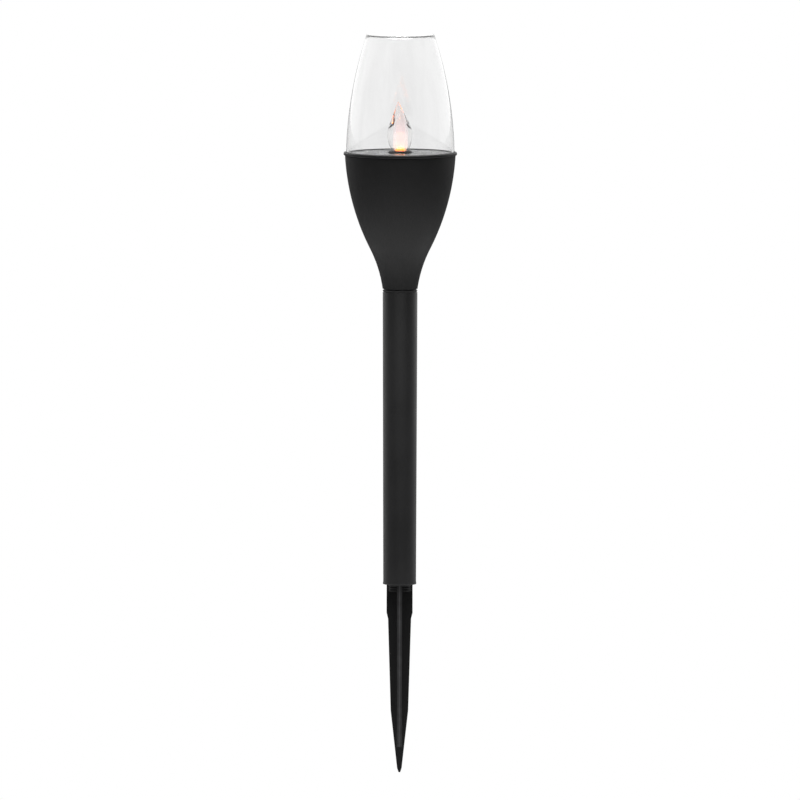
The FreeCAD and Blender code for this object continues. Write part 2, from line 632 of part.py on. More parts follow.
def head_tray():
    groove_inner = SHADE_INNER_FOOT_RADIUS - GROOVE_CLEARANCE
    groove_outer = SHADE_FOOT_RADIUS + GROOVE_CLEARANCE
    groove_z = RIM_Z - SHADE_GROOVE_DEPTH
    neck_hole = FLAME_NECK_RADIUS + NECK_CLEARANCE
    recess = PANEL_RADIUS + PANEL_EDGE_GAP
    top_arc = corner_arc(at(FLANGE_RADIUS, RIM_Z), at(groove_outer, RIM_Z),
                         at(FLANGE_RADIUS, MOUTH_Z), FLANGE_EDGE)
    low_arc = corner_arc(at(FLANGE_RADIUS, MOUTH_Z), at(FLANGE_RADIUS, RIM_Z),
                         at(SKIRT_RADIUS, MOUTH_Z), FLANGE_EDGE)
    seal_z = MOUTH_Z - SEAL_DROP
    seal_floor = SEAL_RING_RADIUS - SEAL_SECTION
    body = turned(outline(
        at(neck_hole, DECK_UNDER_Z),
        at(neck_hole, BOSS_TOP_Z),
        at(BOSS_RADIUS - 0.4, BOSS_TOP_Z),
        at(BOSS_RADIUS, BOSS_TOP_Z - 0.4),
        at(BOSS_RADIUS, DECK_TOP_Z),
        at(recess, DECK_TOP_Z),
        at(recess, RIM_Z),
        at(groove_inner, RIM_Z),
        at(groove_inner, groove_z),
        at(groove_outer, groove_z),
        at(groove_outer, RIM_Z),
        top_arc[0],
        (top_arc[1], top_arc[2]),
        low_arc[0],
        (low_arc[1], low_arc[2]),
        at(SKIRT_RADIUS, MOUTH_Z),
        at(SKIRT_RADIUS, seal_z + SEAL_SECTION),
        at(seal_floor, seal_z + SEAL_SECTION),
        at(seal_floor, seal_z - SEAL_SECTION),
        at(SKIRT_RADIUS, seal_z - SEAL_SECTION),
        at(SKIRT_RADIUS, SKIRT_FOOT_Z + 0.5),
        at(SKIRT_RADIUS - 0.5, SKIRT_FOOT_Z),
        at(SKIRT_INNER_RADIUS, SKIRT_FOOT_Z),
        at(SKIRT_INNER_RADIUS, DECK_UNDER_Z),
    ))
    added = []
    holes = []
    for angle in TOWER_ANGLES:
        x, y = polar(TOWER_CIRCLE, angle)
        added.append(rod(TRAY_BOSS_RADIUS, TOWER_Z, DECK_TOP_Z - 0.1, x, y))
        holes.append(rod(COVER_SCREW_RADIUS, TOWER_Z - 1, TOWER_Z + COVER_SCREW_LENGTH, x, y))
    for x, y in POST_PLACES:
        added.append(rod(POST_RADIUS, BOARD_TOP_Z, DECK_TOP_Z - 0.1, x, y))
        pilot_top = BOARD_UNDER_Z + SMALL_SCREW_LENGTH + 0.3
        holes.append(rod(SMALL_SCREW_RADIUS, BOARD_TOP_Z - 1, pilot_top, x, y))
    for x in (-PANEL_LEAD_X, PANEL_LEAD_X):
        holes.append(rod(LEAD_RADIUS + HOLE_CLEARANCE, DECK_UNDER_Z - 1, DECK_TOP_Z + 1,
                         x, PANEL_LEAD_Y))
    return body.fuse(added).removeSplitter().cut(holes)


def head_seal():
    return Part.makeTorus(SEAL_RING_RADIUS, SEAL_SECTION, Vector(0, 0, MOUTH_Z - SEAL_DROP))


def shade_arc_radius(foot, top, height, lean):
    """The radius of an arc that leans in a little at the foot and comes in to the top."""
    inward = foot - top
    chord = math.hypot(inward, height)
    return chord / (2 * math.sin(math.atan2(inward, height) - lean))


def shade():
    rise = SHADE_TOP_Z - RIM_Z
    lean = math.radians(SHADE_FOOT_LEAN)
    bend = shade_arc_radius(SHADE_FOOT_RADIUS, SHADE_TOP_RADIUS, rise, lean)
    axis_to_centre = SHADE_FOOT_RADIUS - bend * math.cos(lean)

    def wall(inset, lift):
        """A point on the outer arc, or on the inner one, at a height above the rim."""
        reach = bend - inset
        above_centre = lift + bend * math.sin(lean)
        return at(axis_to_centre + math.sqrt(reach ** 2 - above_centre ** 2), RIM_Z + lift)

    corner_lift = rise - SHADE_CORNER
    inner_lift = rise - SHADE_TOP_THICKNESS
    outer_end = wall(0, corner_lift)
    inner_end = wall(SHADE_WALL, inner_lift - SHADE_INNER_CORNER)
    outside = turned(outline(
        at(0, SHADE_FOOT_Z),
        at(SHADE_FOOT_RADIUS, SHADE_FOOT_Z),
        at(SHADE_FOOT_RADIUS, RIM_Z),
        (wall(0, corner_lift / 2), outer_end),
        (outer_end + at(-SHADE_CORNER * 0.36, SHADE_CORNER * 0.76),
         outer_end + at(-SHADE_CORNER * 1.1, SHADE_CORNER)),
        at(0, SHADE_TOP_Z),
    ))
    inside = turned(outline(
        at(0, SHADE_FOOT_Z - 1),
        at(SHADE_INNER_FOOT_RADIUS, SHADE_FOOT_Z - 1),
        at(SHADE_INNER_FOOT_RADIUS, RIM_Z),
        (wall(SHADE_WALL, (inner_lift - SHADE_INNER_CORNER) / 2), inner_end),
        (inner_end + at(-SHADE_INNER_CORNER * 0.36, SHADE_INNER_CORNER * 0.76),
         inner_end + at(-SHADE_INNER_CORNER * 1.1, SHADE_INNER_CORNER)),
        at(0, RIM_Z + inner_lift),
    ))
    return outside.cut(inside)


def shade_gasket():
    groove_z = RIM_Z - SHADE_GROOVE_DEPTH
    return ring(SHADE_FOOT_RADIUS, SHADE_INNER_FOOT_RADIUS, groove_z, groove_z + GASKET_THICKNESS)


# ---------------------------------------------------------------- lamp head: solar panel

def cell_blocks():
    """The four cells, each the last one turned a quarter round the flame."""
    low = DECK_TOP_Z + BOARD_SHEET
    outer_y = PANEL_RADIUS - CELL_SIDE_MARGIN
    far_x = math.sqrt((PANEL_RADIUS - CELL_CORNER_MARGIN) ** 2 - outer_y ** 2)
    first = block((-CELL_OFFSET + CELL_GAP_BETWEEN, far_x), (CELL_OFFSET, outer_y),
                  (low, low + CELL_THICKNESS))
    cells = []
    for turn in range(4):
        cell = first.copy()
        cell.rotate(ORIGIN, UP, -90 * turn)
        cells.append(cell)
    return cells


def panel_board():
    return ring(PANEL_RADIUS, PANEL_HOLE_RADIUS, DECK_TOP_Z, DECK_TOP_Z + BOARD_SHEET)


def solar_cells():
    return Part.makeCompound(cell_blocks())


def panel_resin():
    low = DECK_TOP_Z + BOARD_SHEET
    top = low + RESIN_THICKNESS
    coat = ring(PANEL_RADIUS, PANEL_HOLE_RADIUS, low, top)
    top_edges = [e for e in coat.Edges
                 if isinstance(e.Curve, Part.Circle) and abs(e.CenterOfMass.z - top) < 1e-6]
    coat = coat.makeFillet(RESIN_EDGE, top_edges)
    return coat.cut(cell_blocks())


# ---------------------------------------------------------------- lamp head: flame lens and light

def flame_lens():
    belly_z = FLAME_BASE_Z + FLAME_BELLY
    tip_z = FLAME_BASE_Z + FLAME_HEIGHT
    bend = (FLAME_SHOULDER_RISE ** 2 + FLAME_SHOULDER_INSET ** 2) / (2 * FLAME_SHOULDER_INSET)
    half_rise = FLAME_SHOULDER_RISE / 2
    bend_middle = at(FLAME_RADIUS - bend + math.sqrt(bend ** 2 - half_rise ** 2), belly_z + half_rise)
    shoulder = at(FLAME_RADIUS - FLAME_SHOULDER_INSET, belly_z + FLAME_SHOULDER_RISE)
    low_middle = at((FLAME_BASE_RADIUS + FLAME_RADIUS) / 2 + 0.35, (FLAME_BASE_Z + belly_z) / 2)
    drop = turned(outline(
        at(0, FLAME_BASE_Z),
        at(FLAME_BASE_RADIUS, FLAME_BASE_Z),
        (low_middle, at(FLAME_RADIUS, belly_z)),
        (bend_middle, shoulder),
        at(FLAME_TIP_RADIUS, tip_z - FLAME_TIP_RADIUS),
        (at(FLAME_TIP_RADIUS * HALF_RIGHT, tip_z - FLAME_TIP_RADIUS * (1 - HALF_RIGHT)), at(0, tip_z)),
    ))
    drop.rotate(Vector(0, 0, FLAME_BASE_Z), Vector(0, 1, 0), -FLAME_LEAN)
    sunk = 0.6
    neck = rod(FLAME_NECK_RADIUS, DECK_UNDER_Z, FLAME_BASE_Z + sunk)
    core_top = FLAME_BASE_Z + FLAME_CORE_HEIGHT
    core = turned(outline(
        at(0, DECK_UNDER_Z - 1),
        at(FLAME_CORE_RADIUS, DECK_UNDER_Z - 1),
        at(FLAME_CORE_RADIUS, core_top - FLAME_CORE_TAPER),
        (at(FLAME_CORE_RADIUS * 0.7, core_top - FLAME_CORE_TAPER * 0.45), at(0.2, core_top)),
        at(0, core_top),
    ))
    return drop.fuse(neck).removeSplitter().cut(core)


def light():
    base_z = DECK_UNDER_Z - 0.1 - LIGHT_RIM_THICKNESS
    dome_z = base_z + LIGHT_LENGTH - LIGHT_RADIUS
    return turned(outline(
        at(0, base_z),
        at(LIGHT_RADIUS + LIGHT_RIM, base_z),
        at(LIGHT_RADIUS + LIGHT_RIM, base_z + LIGHT_RIM_THICKNESS),
        at(LIGHT_RADIUS, base_z + LIGHT_RIM_THICKNESS),
        at(LIGHT_RADIUS, dome_z),
        (at(LIGHT_RADIUS * HALF_RIGHT, dome_z + LIGHT_RADIUS * HALF_RIGHT),
         at(0, dome_z + LIGHT_RADIUS)),
    ))


def light_legs():
    top = DECK_UNDER_Z - 0.1 - LIGHT_RIM_THICKNESS
    foot = BOARD_UNDER_Z - 1.0
    return Part.makeCompound([
        block(about(side * LEG_PITCH / 2, LEG_SIDE / 2), about(0, LEG_SIDE / 2), (foot, top))
        for side in (-1, 1)
    ])


# ---------------------------------------------------------------- lamp head: circuit board

def circuit_board():
    board = plate((-BOARD_HALF_LENGTH, BOARD_HALF_LENGTH), (-BOARD_FRONT, BOARD_BACK),
                  (BOARD_UNDER_Z, BOARD_TOP_Z), 1.0)
    holes = [rod(SMALL_SCREW_RADIUS + HOLE_CLEARANCE, BOARD_UNDER_Z - 1, BOARD_TOP_Z + 1, x, y)
             for x, y in POST_PLACES]
    leg = LEG_SIDE / 2 + 0.05
    for side in (-1, 1):
        holes.append(block(about(side * LEG_PITCH / 2, leg), about(0, leg),
                           (BOARD_UNDER_Z - 1, BOARD_TOP_Z + 1)))
    return board.cut(holes)


def board_screws():
    one = screw(SMALL_SCREW_RADIUS, SMALL_SCREW_LENGTH, SMALL_SCREW_HEAD_RADIUS, SMALL_SCREW_HEAD_HEIGHT)
    return Part.makeCompound([placed(one, x, y, BOARD_UNDER_Z) for x, y in POST_PLACES])


def driver_chip():
    x, y = CHIP_PLACE
    length, width, height = CHIP_SIZE
    body = block(about(x, length / 2), about(y, width / 2),
                 (BOARD_UNDER_Z - height, BOARD_UNDER_Z - 0.1))
    feet = []
    for place in range(4):
        foot_x = x + (place - 1.5) * CHIP_LEG_PITCH
        for side in (-1, 1):
            inner = y + side * width / 2
            outer = inner + side * CHIP_LEG_REACH
            feet.append(block(about(foot_x, 0.2), (min(inner, outer), max(inner, outer)),
                              (BOARD_UNDER_Z - CHIP_LEG_HEIGHT, BOARD_UNDER_Z)))
    return body.fuse(feet).removeSplitter()


def inductor():
    x, y = INDUCTOR_PLACE
    z = BOARD_UNDER_Z - INDUCTOR_RADIUS - 0.1
    half = INDUCTOR_LENGTH / 2
    body = rod_along_y(INDUCTOR_RADIUS * 0.8, y - half, y + half, x, z)
    ends = [rod_along_y(INDUCTOR_RADIUS, y - half, y - half * 0.55, x, z),
            rod_along_y(INDUCTOR_RADIUS, y + half * 0.55, y + half, x, z)]
    return body.fuse(ends).removeSplitter()


def capacitor():
    x, y = CAPACITOR_PLACE
    return rod(CAPACITOR_RADIUS, BOARD_UNDER_Z - CAPACITOR_HEIGHT, BOARD_UNDER_Z, x, y)


def resistors():
    made = []
    for x, y in RESISTOR_PLACES:
        z = BOARD_UNDER_Z - RESISTOR_RADIUS - 0.1
        half = RESISTOR_LENGTH / 2
        body = rod_along_x(RESISTOR_RADIUS, x - half, x + half, y, z)
        wire = rod_along_x(0.25, x - half - 1, x + half + 1, y, z)
        legs = [rod(0.25, z, BOARD_UNDER_Z, x + side * (half + 0.75), y) for side in (-1, 1)]
        made.append(body.fuse([wire] + legs).removeSplitter())
    return Part.makeCompound(made)


# ---------------------------------------------------------------- lamp head: cover and screws

def battery_box_outside():
    return block(about(0, BOX_HALF_LENGTH + BOX_WALL), about(CELL_Y, BOX_HALF_WIDTH + BOX_WALL),
                 (COVER_FLOOR_Z - 0.5, COVER_FLOOR_Z + BOX_HEIGHT))


def head_cover():
    spigot_radius = SKIRT_INNER_RADIUS - COVER_SPIGOT_GAP
    spigot_top = SKIRT_FOOT_Z + COVER_SPIGOT_HEIGHT
    slope_in = (COVER_SHOULDER_RADIUS - COVER_FOOT_RADIUS) / (SKIRT_FOOT_Z - COVER_Z)
    floor_inner = COVER_FOOT_RADIUS - COVER_WALL + slope_in * COVER_FLOOR
    edge = corner_arc(at(COVER_FOOT_RADIUS, COVER_Z), at(0, COVER_Z),
                      at(COVER_SHOULDER_RADIUS, SKIRT_FOOT_Z), COVER_EDGE)
    cup = turned(outline(
        at(0, COVER_Z),
        edge[0],
        (edge[1], edge[2]),
        at(COVER_SHOULDER_RADIUS, SKIRT_FOOT_Z),
        at(spigot_radius, SKIRT_FOOT_Z),
        at(spigot_radius, spigot_top),
        at(spigot_radius - COVER_WALL, spigot_top),
        at(spigot_radius - COVER_WALL, SKIRT_FOOT_Z - 2.0),
        at(floor_inner, COVER_FLOOR_Z),
        at(0, COVER_FLOOR_Z),
    ))
    added = [battery_box_outside()]
    holes = [block(about(0, BOX_HALF_LENGTH), about(CELL_Y, BOX_HALF_WIDTH),
                   (COVER_Z - 1, COVER_FLOOR_Z + BOX_HEIGHT + 1))]
    pocket_top = COVER_Z + COVER_SCREW_HEAD_HEIGHT + 1.0
    for angle in TOWER_ANGLES:
        x, y = polar(TOWER_CIRCLE, angle)
        added.append(rod(TOWER_RADIUS, COVER_FLOOR_Z - 0.5, TOWER_Z, x, y))
        holes.append(rod(COVER_SCREW_HEAD_RADIUS + HEAD_ROOM, COVER_Z - 1, pocket_top, x, y))
        holes.append(rod(COVER_SCREW_RADIUS + HOLE_CLEARANCE, COVER_Z, TOWER_Z + 1, x, y))
    # hinge ears either side of the door's knuckle
    reach = HINGE_LENGTH / 2 + EAR_GAP
    for low in (reach, -reach - EAR_THICKNESS):
        added.append(rod_along_x(HINGE_RADIUS, low, low + EAR_THICKNESS, HINGE_Y, HINGE_Z))
        added.append(block((low, low + EAR_THICKNESS), about(HINGE_Y, HINGE_RADIUS),
                           (HINGE_Z, COVER_Z + 1.0)))
    pin_reach = reach + EAR_THICKNESS
    holes.append(rod_along_x(HINGE_PIN_RADIUS, -pin_reach - 1, pin_reach + 1, HINGE_Y, HINGE_Z))
    # boss for the door's screw
    screw_hole = SMALL_SCREW_RADIUS + DOOR_SCREW_CLEARANCE
    screw_top = COVER_Z + DOOR_SCREW_REACH + 0.4
    added.append(rod(screw_hole + 0.9, COVER_FLOOR_Z - 0.5, screw_top + 1.0, 0, DOOR_SCREW_Y))
    holes.append(rod(screw_hole, COVER_Z - 1, screw_top, 0, DOOR_SCREW_Y))
    # stakes that hold the switch, and the slot and finger pocket for its slider
    stake_top = COVER_FLOOR_Z + FRAME_SHEET
    for side in (-1, 1):
        x = side * STAKE_PITCH / 2
        added.append(rod(STAKE_RADIUS, COVER_FLOOR_Z - 0.5, stake_top, x, SWITCH_Y))
        added.append(Part.makeCone(STAKE_HEAD_RADIUS, STAKE_RADIUS * 0.6, STAKE_HEAD_HEIGHT,
                                   Vector(x, SWITCH_Y, stake_top)))
    slot_half = (SLIDER_TRAVEL + SLIDER_LENGTH) / 2 + SLIDER_GAP
    holes.append(block(about(0, slot_half), about(SWITCH_Y, SLIDER_WIDTH / 2 + SLIDER_GAP),
                       (COVER_Z - 1, COVER_FLOOR_Z + 1)))
    holes.append(plate(about(0, slot_half + 1.6), about(SWITCH_Y, SLIDER_WIDTH / 2 + 1.6),
                       (COVER_Z - 1, COVER_Z + SWITCH_POCKET_DEPTH), 1.0))
    return cup.fuse(added).removeSplitter().cut(holes)


def cover_screws():
    seat = COVER_Z + COVER_SCREW_HEAD_HEIGHT + 1.0
    length = TOWER_Z - seat + COVER_SCREW_LENGTH - 1.0
    one = screw(COVER_SCREW_RADIUS, length, COVER_SCREW_HEAD_RADIUS, COVER_SCREW_HEAD_HEIGHT)
    places = [polar(TOWER_CIRCLE, angle) for angle in TOWER_ANGLES]
    return Part.makeCompound([placed(one, x, y, seat) for x, y in places])


# ---------------------------------------------------------------- lamp head: cell and contacts

def battery_cell():
    crimp = 0.5
    can_end = CELL_FOOT_X + CELL_CAN_LENGTH
    can = rod_along_x(CELL_CAN_RADIUS, CELL_FOOT_X, can_end, CELL_Y, CELL_Z)
    rims = [e for e in can.Edges if isinstance(e.Curve, Part.Circle)]
    can = can.makeFillet(crimp, rims)
    button = rod_along_x(CELL_BUTTON_RADIUS, can_end - 0.5, CELL_BUTTON_X, CELL_Y, CELL_Z)
    return can.fuse(button).removeSplitter()


def contact(inner_x, outer_x):
    """A stamped contact plate against one end of the cell's box, with a tab for its wire."""
    low = COVER_FLOOR_Z + CONTACT_LIFT
    span = (min(inner_x, outer_x), max(inner_x, outer_x))
    sheet = block(span, about(CELL_Y, CONTACT_WIDTH / 2), (low, low + CONTACT_HEIGHT))
    tab = block(span, about(CELL_Y, CONTACT_TAB_HALF_WIDTH),
                (low + CONTACT_HEIGHT - 0.1, low + CONTACT_HEIGHT + CONTACT_TAB_HEIGHT))
    return sheet.fuse(tab).removeSplitter()


def battery_plate():
    inner_x = BOX_HALF_LENGTH - CONTACT_THICKNESS
    dimple = Part.makeCone(1.6, 0.9, CONTACT_DIMPLE, Vector(inner_x + 0.02, CELL_Y, CELL_Z),
                           Vector(-1, 0, 0))
    dimple.translate(Vector(-0.02, 0, 0))
    return contact(inner_x, BOX_HALF_LENGTH).fuse(dimple).removeSplitter()


def battery_spring_plate():
    return contact(-BOX_HALF_LENGTH + CONTACT_THICKNESS, -BOX_HALF_LENGTH)


def battery_spring():
    """A coil that widens from the cell to its plate, as arcs of a quarter turn each."""
    rise = SPRING_LENGTH - 2 * SPRING_WIRE - 0.04
    tip_x = CELL_FOOT_X - SPRING_WIRE - 0.02

    def along(turn):
        share = turn / SPRING_TURNS
        reach = SPRING_TIP_RADIUS + (SPRING_BASE_RADIUS - SPRING_TIP_RADIUS) * share
        angle = 2 * math.pi * turn
        return Vector(tip_x - rise * share,
                      CELL_Y + reach * math.cos(angle),
                      CELL_Z + reach * math.sin(angle))

    quarters = [n / 4 for n in range(4 * SPRING_TURNS)]
    arcs = [Part.Arc(along(q), along(q + 0.125), along(q + 0.25)).toShape() for q in quarters]
    start = arcs[0].tangentAt(arcs[0].FirstParameter)
    section = Part.Wire(Part.makeCircle(SPRING_WIRE, along(0), start))
    return facing_out(Part.Wire(arcs).makePipeShell([section], True, False))


# ---------------------------------------------------------------- cell door

def battery_door():
    half_length = BOX_HALF_LENGTH + DOOR_MARGIN
    far_y = CELL_Y - BOX_HALF_WIDTH - DOOR_MARGIN
    near_y = HINGE_Y - HINGE_RADIUS - 0.2
    low = DOOR_TOP_Z - DOOR_THICKNESS
    door = plate(about(0, half_length), (far_y, near_y), (low, DOOR_TOP_Z), DOOR_CORNER)
    tongue = rod(DOOR_TONGUE_RADIUS, low, DOOR_TOP_Z, 0, DOOR_SCREW_Y)
    rim_x = BOX_HALF_LENGTH - DOOR_RIM_GAP
    rim_y = BOX_HALF_WIDTH - DOOR_RIM_GAP
    rim = block(about(0, rim_x), about(CELL_Y, rim_y), (DOOR_TOP_Z - 0.2, DOOR_TOP_Z + DOOR_RIM_HEIGHT))
    rim = rim.cut(block(about(0, rim_x - DOOR_RIM_WALL), about(CELL_Y, rim_y - DOOR_RIM_WALL),
                        (DOOR_TOP_Z - 1, DOOR_TOP_Z + DOOR_RIM_HEIGHT + 1)))
    half_knuckle = HINGE_LENGTH / 2
    knuckle = rod_along_x(HINGE_RADIUS, -half_knuckle, half_knuckle, HINGE_Y, HINGE_Z)
    web = block(about(0, half_knuckle), (near_y - 0.5, HINGE_Y), (low, DOOR_TOP_Z))
    # finger ribs beside the screw
    ribs = [block(about(0, DOOR_RIB_HALF_LENGTH), (far_y + 2.4 + 1.2 * n, far_y + 3.0 + 1.2 * n),
                  (low - DOOR_RIB_HEIGHT, low + 0.1)) for n in range(4)]
    pin_hole = rod_along_x(HINGE_PIN_RADIUS + HINGE_PIN_CLEARANCE, -half_knuckle - 1, half_knuckle + 1,
                           HINGE_Y, HINGE_Z)
    screw_hole = rod(SMALL_SCREW_RADIUS, low - 1, DOOR_TOP_Z + 1, 0, DOOR_SCREW_Y)
    return door.fuse([tongue, rim, knuckle, web] + ribs).removeSplitter().cut([pin_hole, screw_hole])


def battery_door_screw():
    seat = DOOR_TOP_Z - DOOR_THICKNESS
    length = COVER_Z + DOOR_SCREW_REACH - seat
    one = screw(SMALL_SCREW_RADIUS, length, SMALL_SCREW_HEAD_RADIUS, SMALL_SCREW_HEAD_HEIGHT)
    return placed(one, 0, DOOR_SCREW_Y, seat)


def hinge_pin():
    reach = HINGE_LENGTH / 2 + EAR_GAP + EAR_THICKNESS
    return rod_along_x(HINGE_PIN_RADIUS, -reach, reach, HINGE_Y, HINGE_Z)


# ---------------------------------------------------------------- switch

def switch_frame():
    sheet = plate(about(0, FRAME_LENGTH / 2), about(SWITCH_Y, FRAME_WIDTH / 2),
                  (COVER_FLOOR_Z, COVER_FLOOR_Z + FRAME_SHEET), 0.8)
    slot_half = (SLIDER_TRAVEL + SLIDER_LENGTH) / 2 + SLIDER_GAP
    cuts = [block(about(0, slot_half), about(SWITCH_Y, SLIDER_WIDTH / 2 + SLIDER_GAP),
                  (COVER_FLOOR_Z - 1, COVER_FLOOR_Z + 1))]
    for side in (-1, 1):
        cuts.append(rod(STAKE_RADIUS, COVER_FLOOR_Z - 1, COVER_FLOOR_Z + 1,
                        side * STAKE_PITCH / 2, SWITCH_Y))
    return sheet.cut(cuts)


def switch_body():
    low = COVER_FLOOR_Z + FRAME_SHEET
    body = block(about(0, SWITCH_LENGTH / 2), about(SWITCH_Y, SWITCH_WIDTH / 2),
                 (low, low + SWITCH_HEIGHT))
    track_half = (SLIDER_TRAVEL + SLIDER_SHOE_LENGTH) / 2 + SLIDER_GAP
    track = block(about(0, track_half), about(SWITCH_Y, SWITCH_WIDTH / 2 - SWITCH_SHELL),
                  (low - 1, low + SLIDER_SHOE_HEIGHT + SLIDER_GAP))
    return body.cut(track)


def switch_terminals():
    thin, wide = TERMINAL_SIZE
    return Part.makeCompound([
        block(about(TERMINAL_PITCH * place, thin / 2), about(SWITCH_Y, wide / 2),
              (TERMINAL_TOP_Z - TERMINAL_HEIGHT, TERMINAL_TOP_Z))
        for place in (-1, 0, 1)
    ])


def switch_slider():
    x = -SLIDER_TRAVEL / 2
    shoe_low = COVER_FLOOR_Z + FRAME_SHEET + 0.05
    shoe_half_width = SWITCH_WIDTH / 2 - SWITCH_SHELL - SLIDER_GAP
    shoe = block(about(x, SLIDER_SHOE_LENGTH / 2), about(SWITCH_Y, shoe_half_width),
                 (shoe_low, shoe_low + SLIDER_SHOE_HEIGHT - 0.05))
    stem = block(about(x, SLIDER_LENGTH / 2), about(SWITCH_Y, SLIDER_WIDTH / 2),
                 (COVER_Z - SLIDER_SHOWN, shoe_low + 0.5))
    under = [e for e in stem.Edges if e.BoundBox.ZMax < COVER_Z - SLIDER_SHOWN + 0.01]
    stem = stem.makeFillet(0.25, under)
    grooves = [block(about(x + 0.8 * n, 0.15), about(SWITCH_Y, 2.0),
                     (COVER_Z - SLIDER_SHOWN - 1, COVER_Z - SLIDER_SHOWN + 0.3)) for n in (-1, 0, 1)]
    return shoe.fuse(stem).removeSplitter().cut(grooves)


# ---------------------------------------------------------------- leads

def panel_lead(side):
    """From a pad under the panel, through the tray, to the board."""
    inner_y = PANEL_LEAD_Y - PANEL_LEAD_STEP
    return lead([
        (side * PANEL_LEAD_X, PANEL_LEAD_Y, DECK_TOP_Z),
        (side * PANEL_LEAD_X, PANEL_LEAD_Y, DECK_UNDER_Z - LEAD_STRAIGHT),
        (side * PANEL_LEAD_X, inner_y, BOARD_TOP_Z + LEAD_STRAIGHT),
        (side * PANEL_LEAD_X, inner_y, BOARD_TOP_Z),
    ])


def panel_lead_red():
    return panel_lead(1)


def panel_lead_black():
    return panel_lead(-1)


def battery_lead_black():
    """From the spring's plate up to the board's underside."""
    tab_x = -BOX_HALF_LENGTH + CONTACT_THICKNESS + LEAD_RADIUS
    pad_x = -BOARD_HALF_LENGTH + 1.2
    over_z = BOARD_UNDER_Z - 2.0
    return lead([
        (tab_x, CELL_Y, CONTACT_TAB_Z),
        (tab_x, CELL_Y, over_z),
        (pad_x, CELL_Y - 1.6, over_z),
        (pad_x, CELL_Y - 1.6, BOARD_UNDER_Z),
    ])


def battery_lead_red():
    """From the plate at the cell's button, over the cell's box, to the switch."""
    tab_x = BOX_HALF_LENGTH - CONTACT_THICKNESS - LEAD_RADIUS
    return lead([
        (tab_x, CELL_Y, CONTACT_TAB_Z),
        (tab_x, CELL_Y, CONTACT_TAB_Z + LEAD_OVER_BOX),
        (tab_x - 0.5, SWITCH_Y - 7.0, CONTACT_TAB_Z + LEAD_OVER_BOX),
        (TERMINAL_PITCH, SWITCH_Y, TERMINAL_TOP_Z + LEAD_OVER_BOX),
        (TERMINAL_PITCH, SWITCH_Y, TERMINAL_TOP_Z),
    ])


def switch_lead_red():
    """From the switch's middle terminal to the board."""
    pad_y = BOARD_BACK - PAD_MARGIN
    return lead([
        (0, SWITCH_Y, TERMINAL_TOP_Z),
        (0, SWITCH_Y, TERMINAL_TOP_Z + 3.0),
        (0, pad_y, BOARD_UNDER_Z - 2.6),
        (0, pad_y, BOARD_UNDER_Z),
    ])


# ---------------------------------------------------------------- export

NODES = [
    ground_spike, pole, bowl,
    head_tray, head_seal, shade, shade_gasket,
    panel_board, solar_cells, panel_resin,
    flame_lens, light, light_legs,
    circuit_board, board_screws, driver_chip, inductor, capacitor, resistors,
    head_cover, cover_screws,
    battery_cell, battery_plate, battery_spring_plate, battery_spring,
    battery_door, battery_door_screw, hinge_pin,
    switch_frame, switch_body, switch_terminals, switch_slider,
    panel_lead_red, panel_lead_black, battery_lead_red, battery_lead_black, switch_lead_red,
]


def main():
    os.makedirs("parts", exist_ok=True)
    for make in NODES:
        shape = make()
        name = make.__name__
        shape.exportStep(f"parts/{name}.step")
        box = shape.BoundBox
        print(f"{name}: {len(shape.Solids)} solid(s), {shape.Volume:.2f} mm3, valid {shape.isValid()},"
              f" z {box.ZMin:.2f} to {box.ZMax:.2f}")


main()
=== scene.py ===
import bmesh
import bpy
import math
from mathutils import Matrix, Vector


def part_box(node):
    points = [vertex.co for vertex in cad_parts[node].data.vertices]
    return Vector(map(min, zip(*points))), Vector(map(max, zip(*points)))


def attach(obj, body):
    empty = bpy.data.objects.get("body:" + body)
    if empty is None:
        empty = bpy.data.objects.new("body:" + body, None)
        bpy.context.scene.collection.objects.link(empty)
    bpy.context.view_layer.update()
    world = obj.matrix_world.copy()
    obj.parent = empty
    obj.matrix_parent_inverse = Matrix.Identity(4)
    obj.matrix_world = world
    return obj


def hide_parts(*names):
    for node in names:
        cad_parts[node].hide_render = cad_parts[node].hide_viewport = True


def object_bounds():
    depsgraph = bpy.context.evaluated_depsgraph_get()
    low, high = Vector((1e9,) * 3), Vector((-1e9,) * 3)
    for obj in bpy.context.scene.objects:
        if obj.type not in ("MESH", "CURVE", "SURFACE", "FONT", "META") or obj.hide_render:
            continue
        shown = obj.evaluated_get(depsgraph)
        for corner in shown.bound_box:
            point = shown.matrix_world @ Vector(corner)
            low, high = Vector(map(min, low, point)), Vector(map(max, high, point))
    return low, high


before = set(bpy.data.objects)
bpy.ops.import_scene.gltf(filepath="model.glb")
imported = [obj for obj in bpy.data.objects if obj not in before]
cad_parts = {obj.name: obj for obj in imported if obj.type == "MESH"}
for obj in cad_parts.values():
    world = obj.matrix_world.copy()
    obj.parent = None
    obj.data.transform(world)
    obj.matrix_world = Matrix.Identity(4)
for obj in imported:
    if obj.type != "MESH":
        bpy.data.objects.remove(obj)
cad_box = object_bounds()

# Metres, in the torch's own frame: its axis is Z, ground level is zero, and MM turns millimetres
# into metres.
MM = 0.001


# ---------------------------------------------------------------- camera, light and floor
# A long lens looks slightly down at the torch against a white sweep. The white behind and beside it
# is brighter than the dark room behind the camera, so a black moulding is palest along its edges.

LENS = 800
SENSOR = 36
SEEN_ACROSS = 423.7 * MM
LOOKS_DOWN = math.radians(4.7)
ROLLED = math.radians(0.09)
AIM = Vector((0.05 * MM, 0, 97.8 * MM))

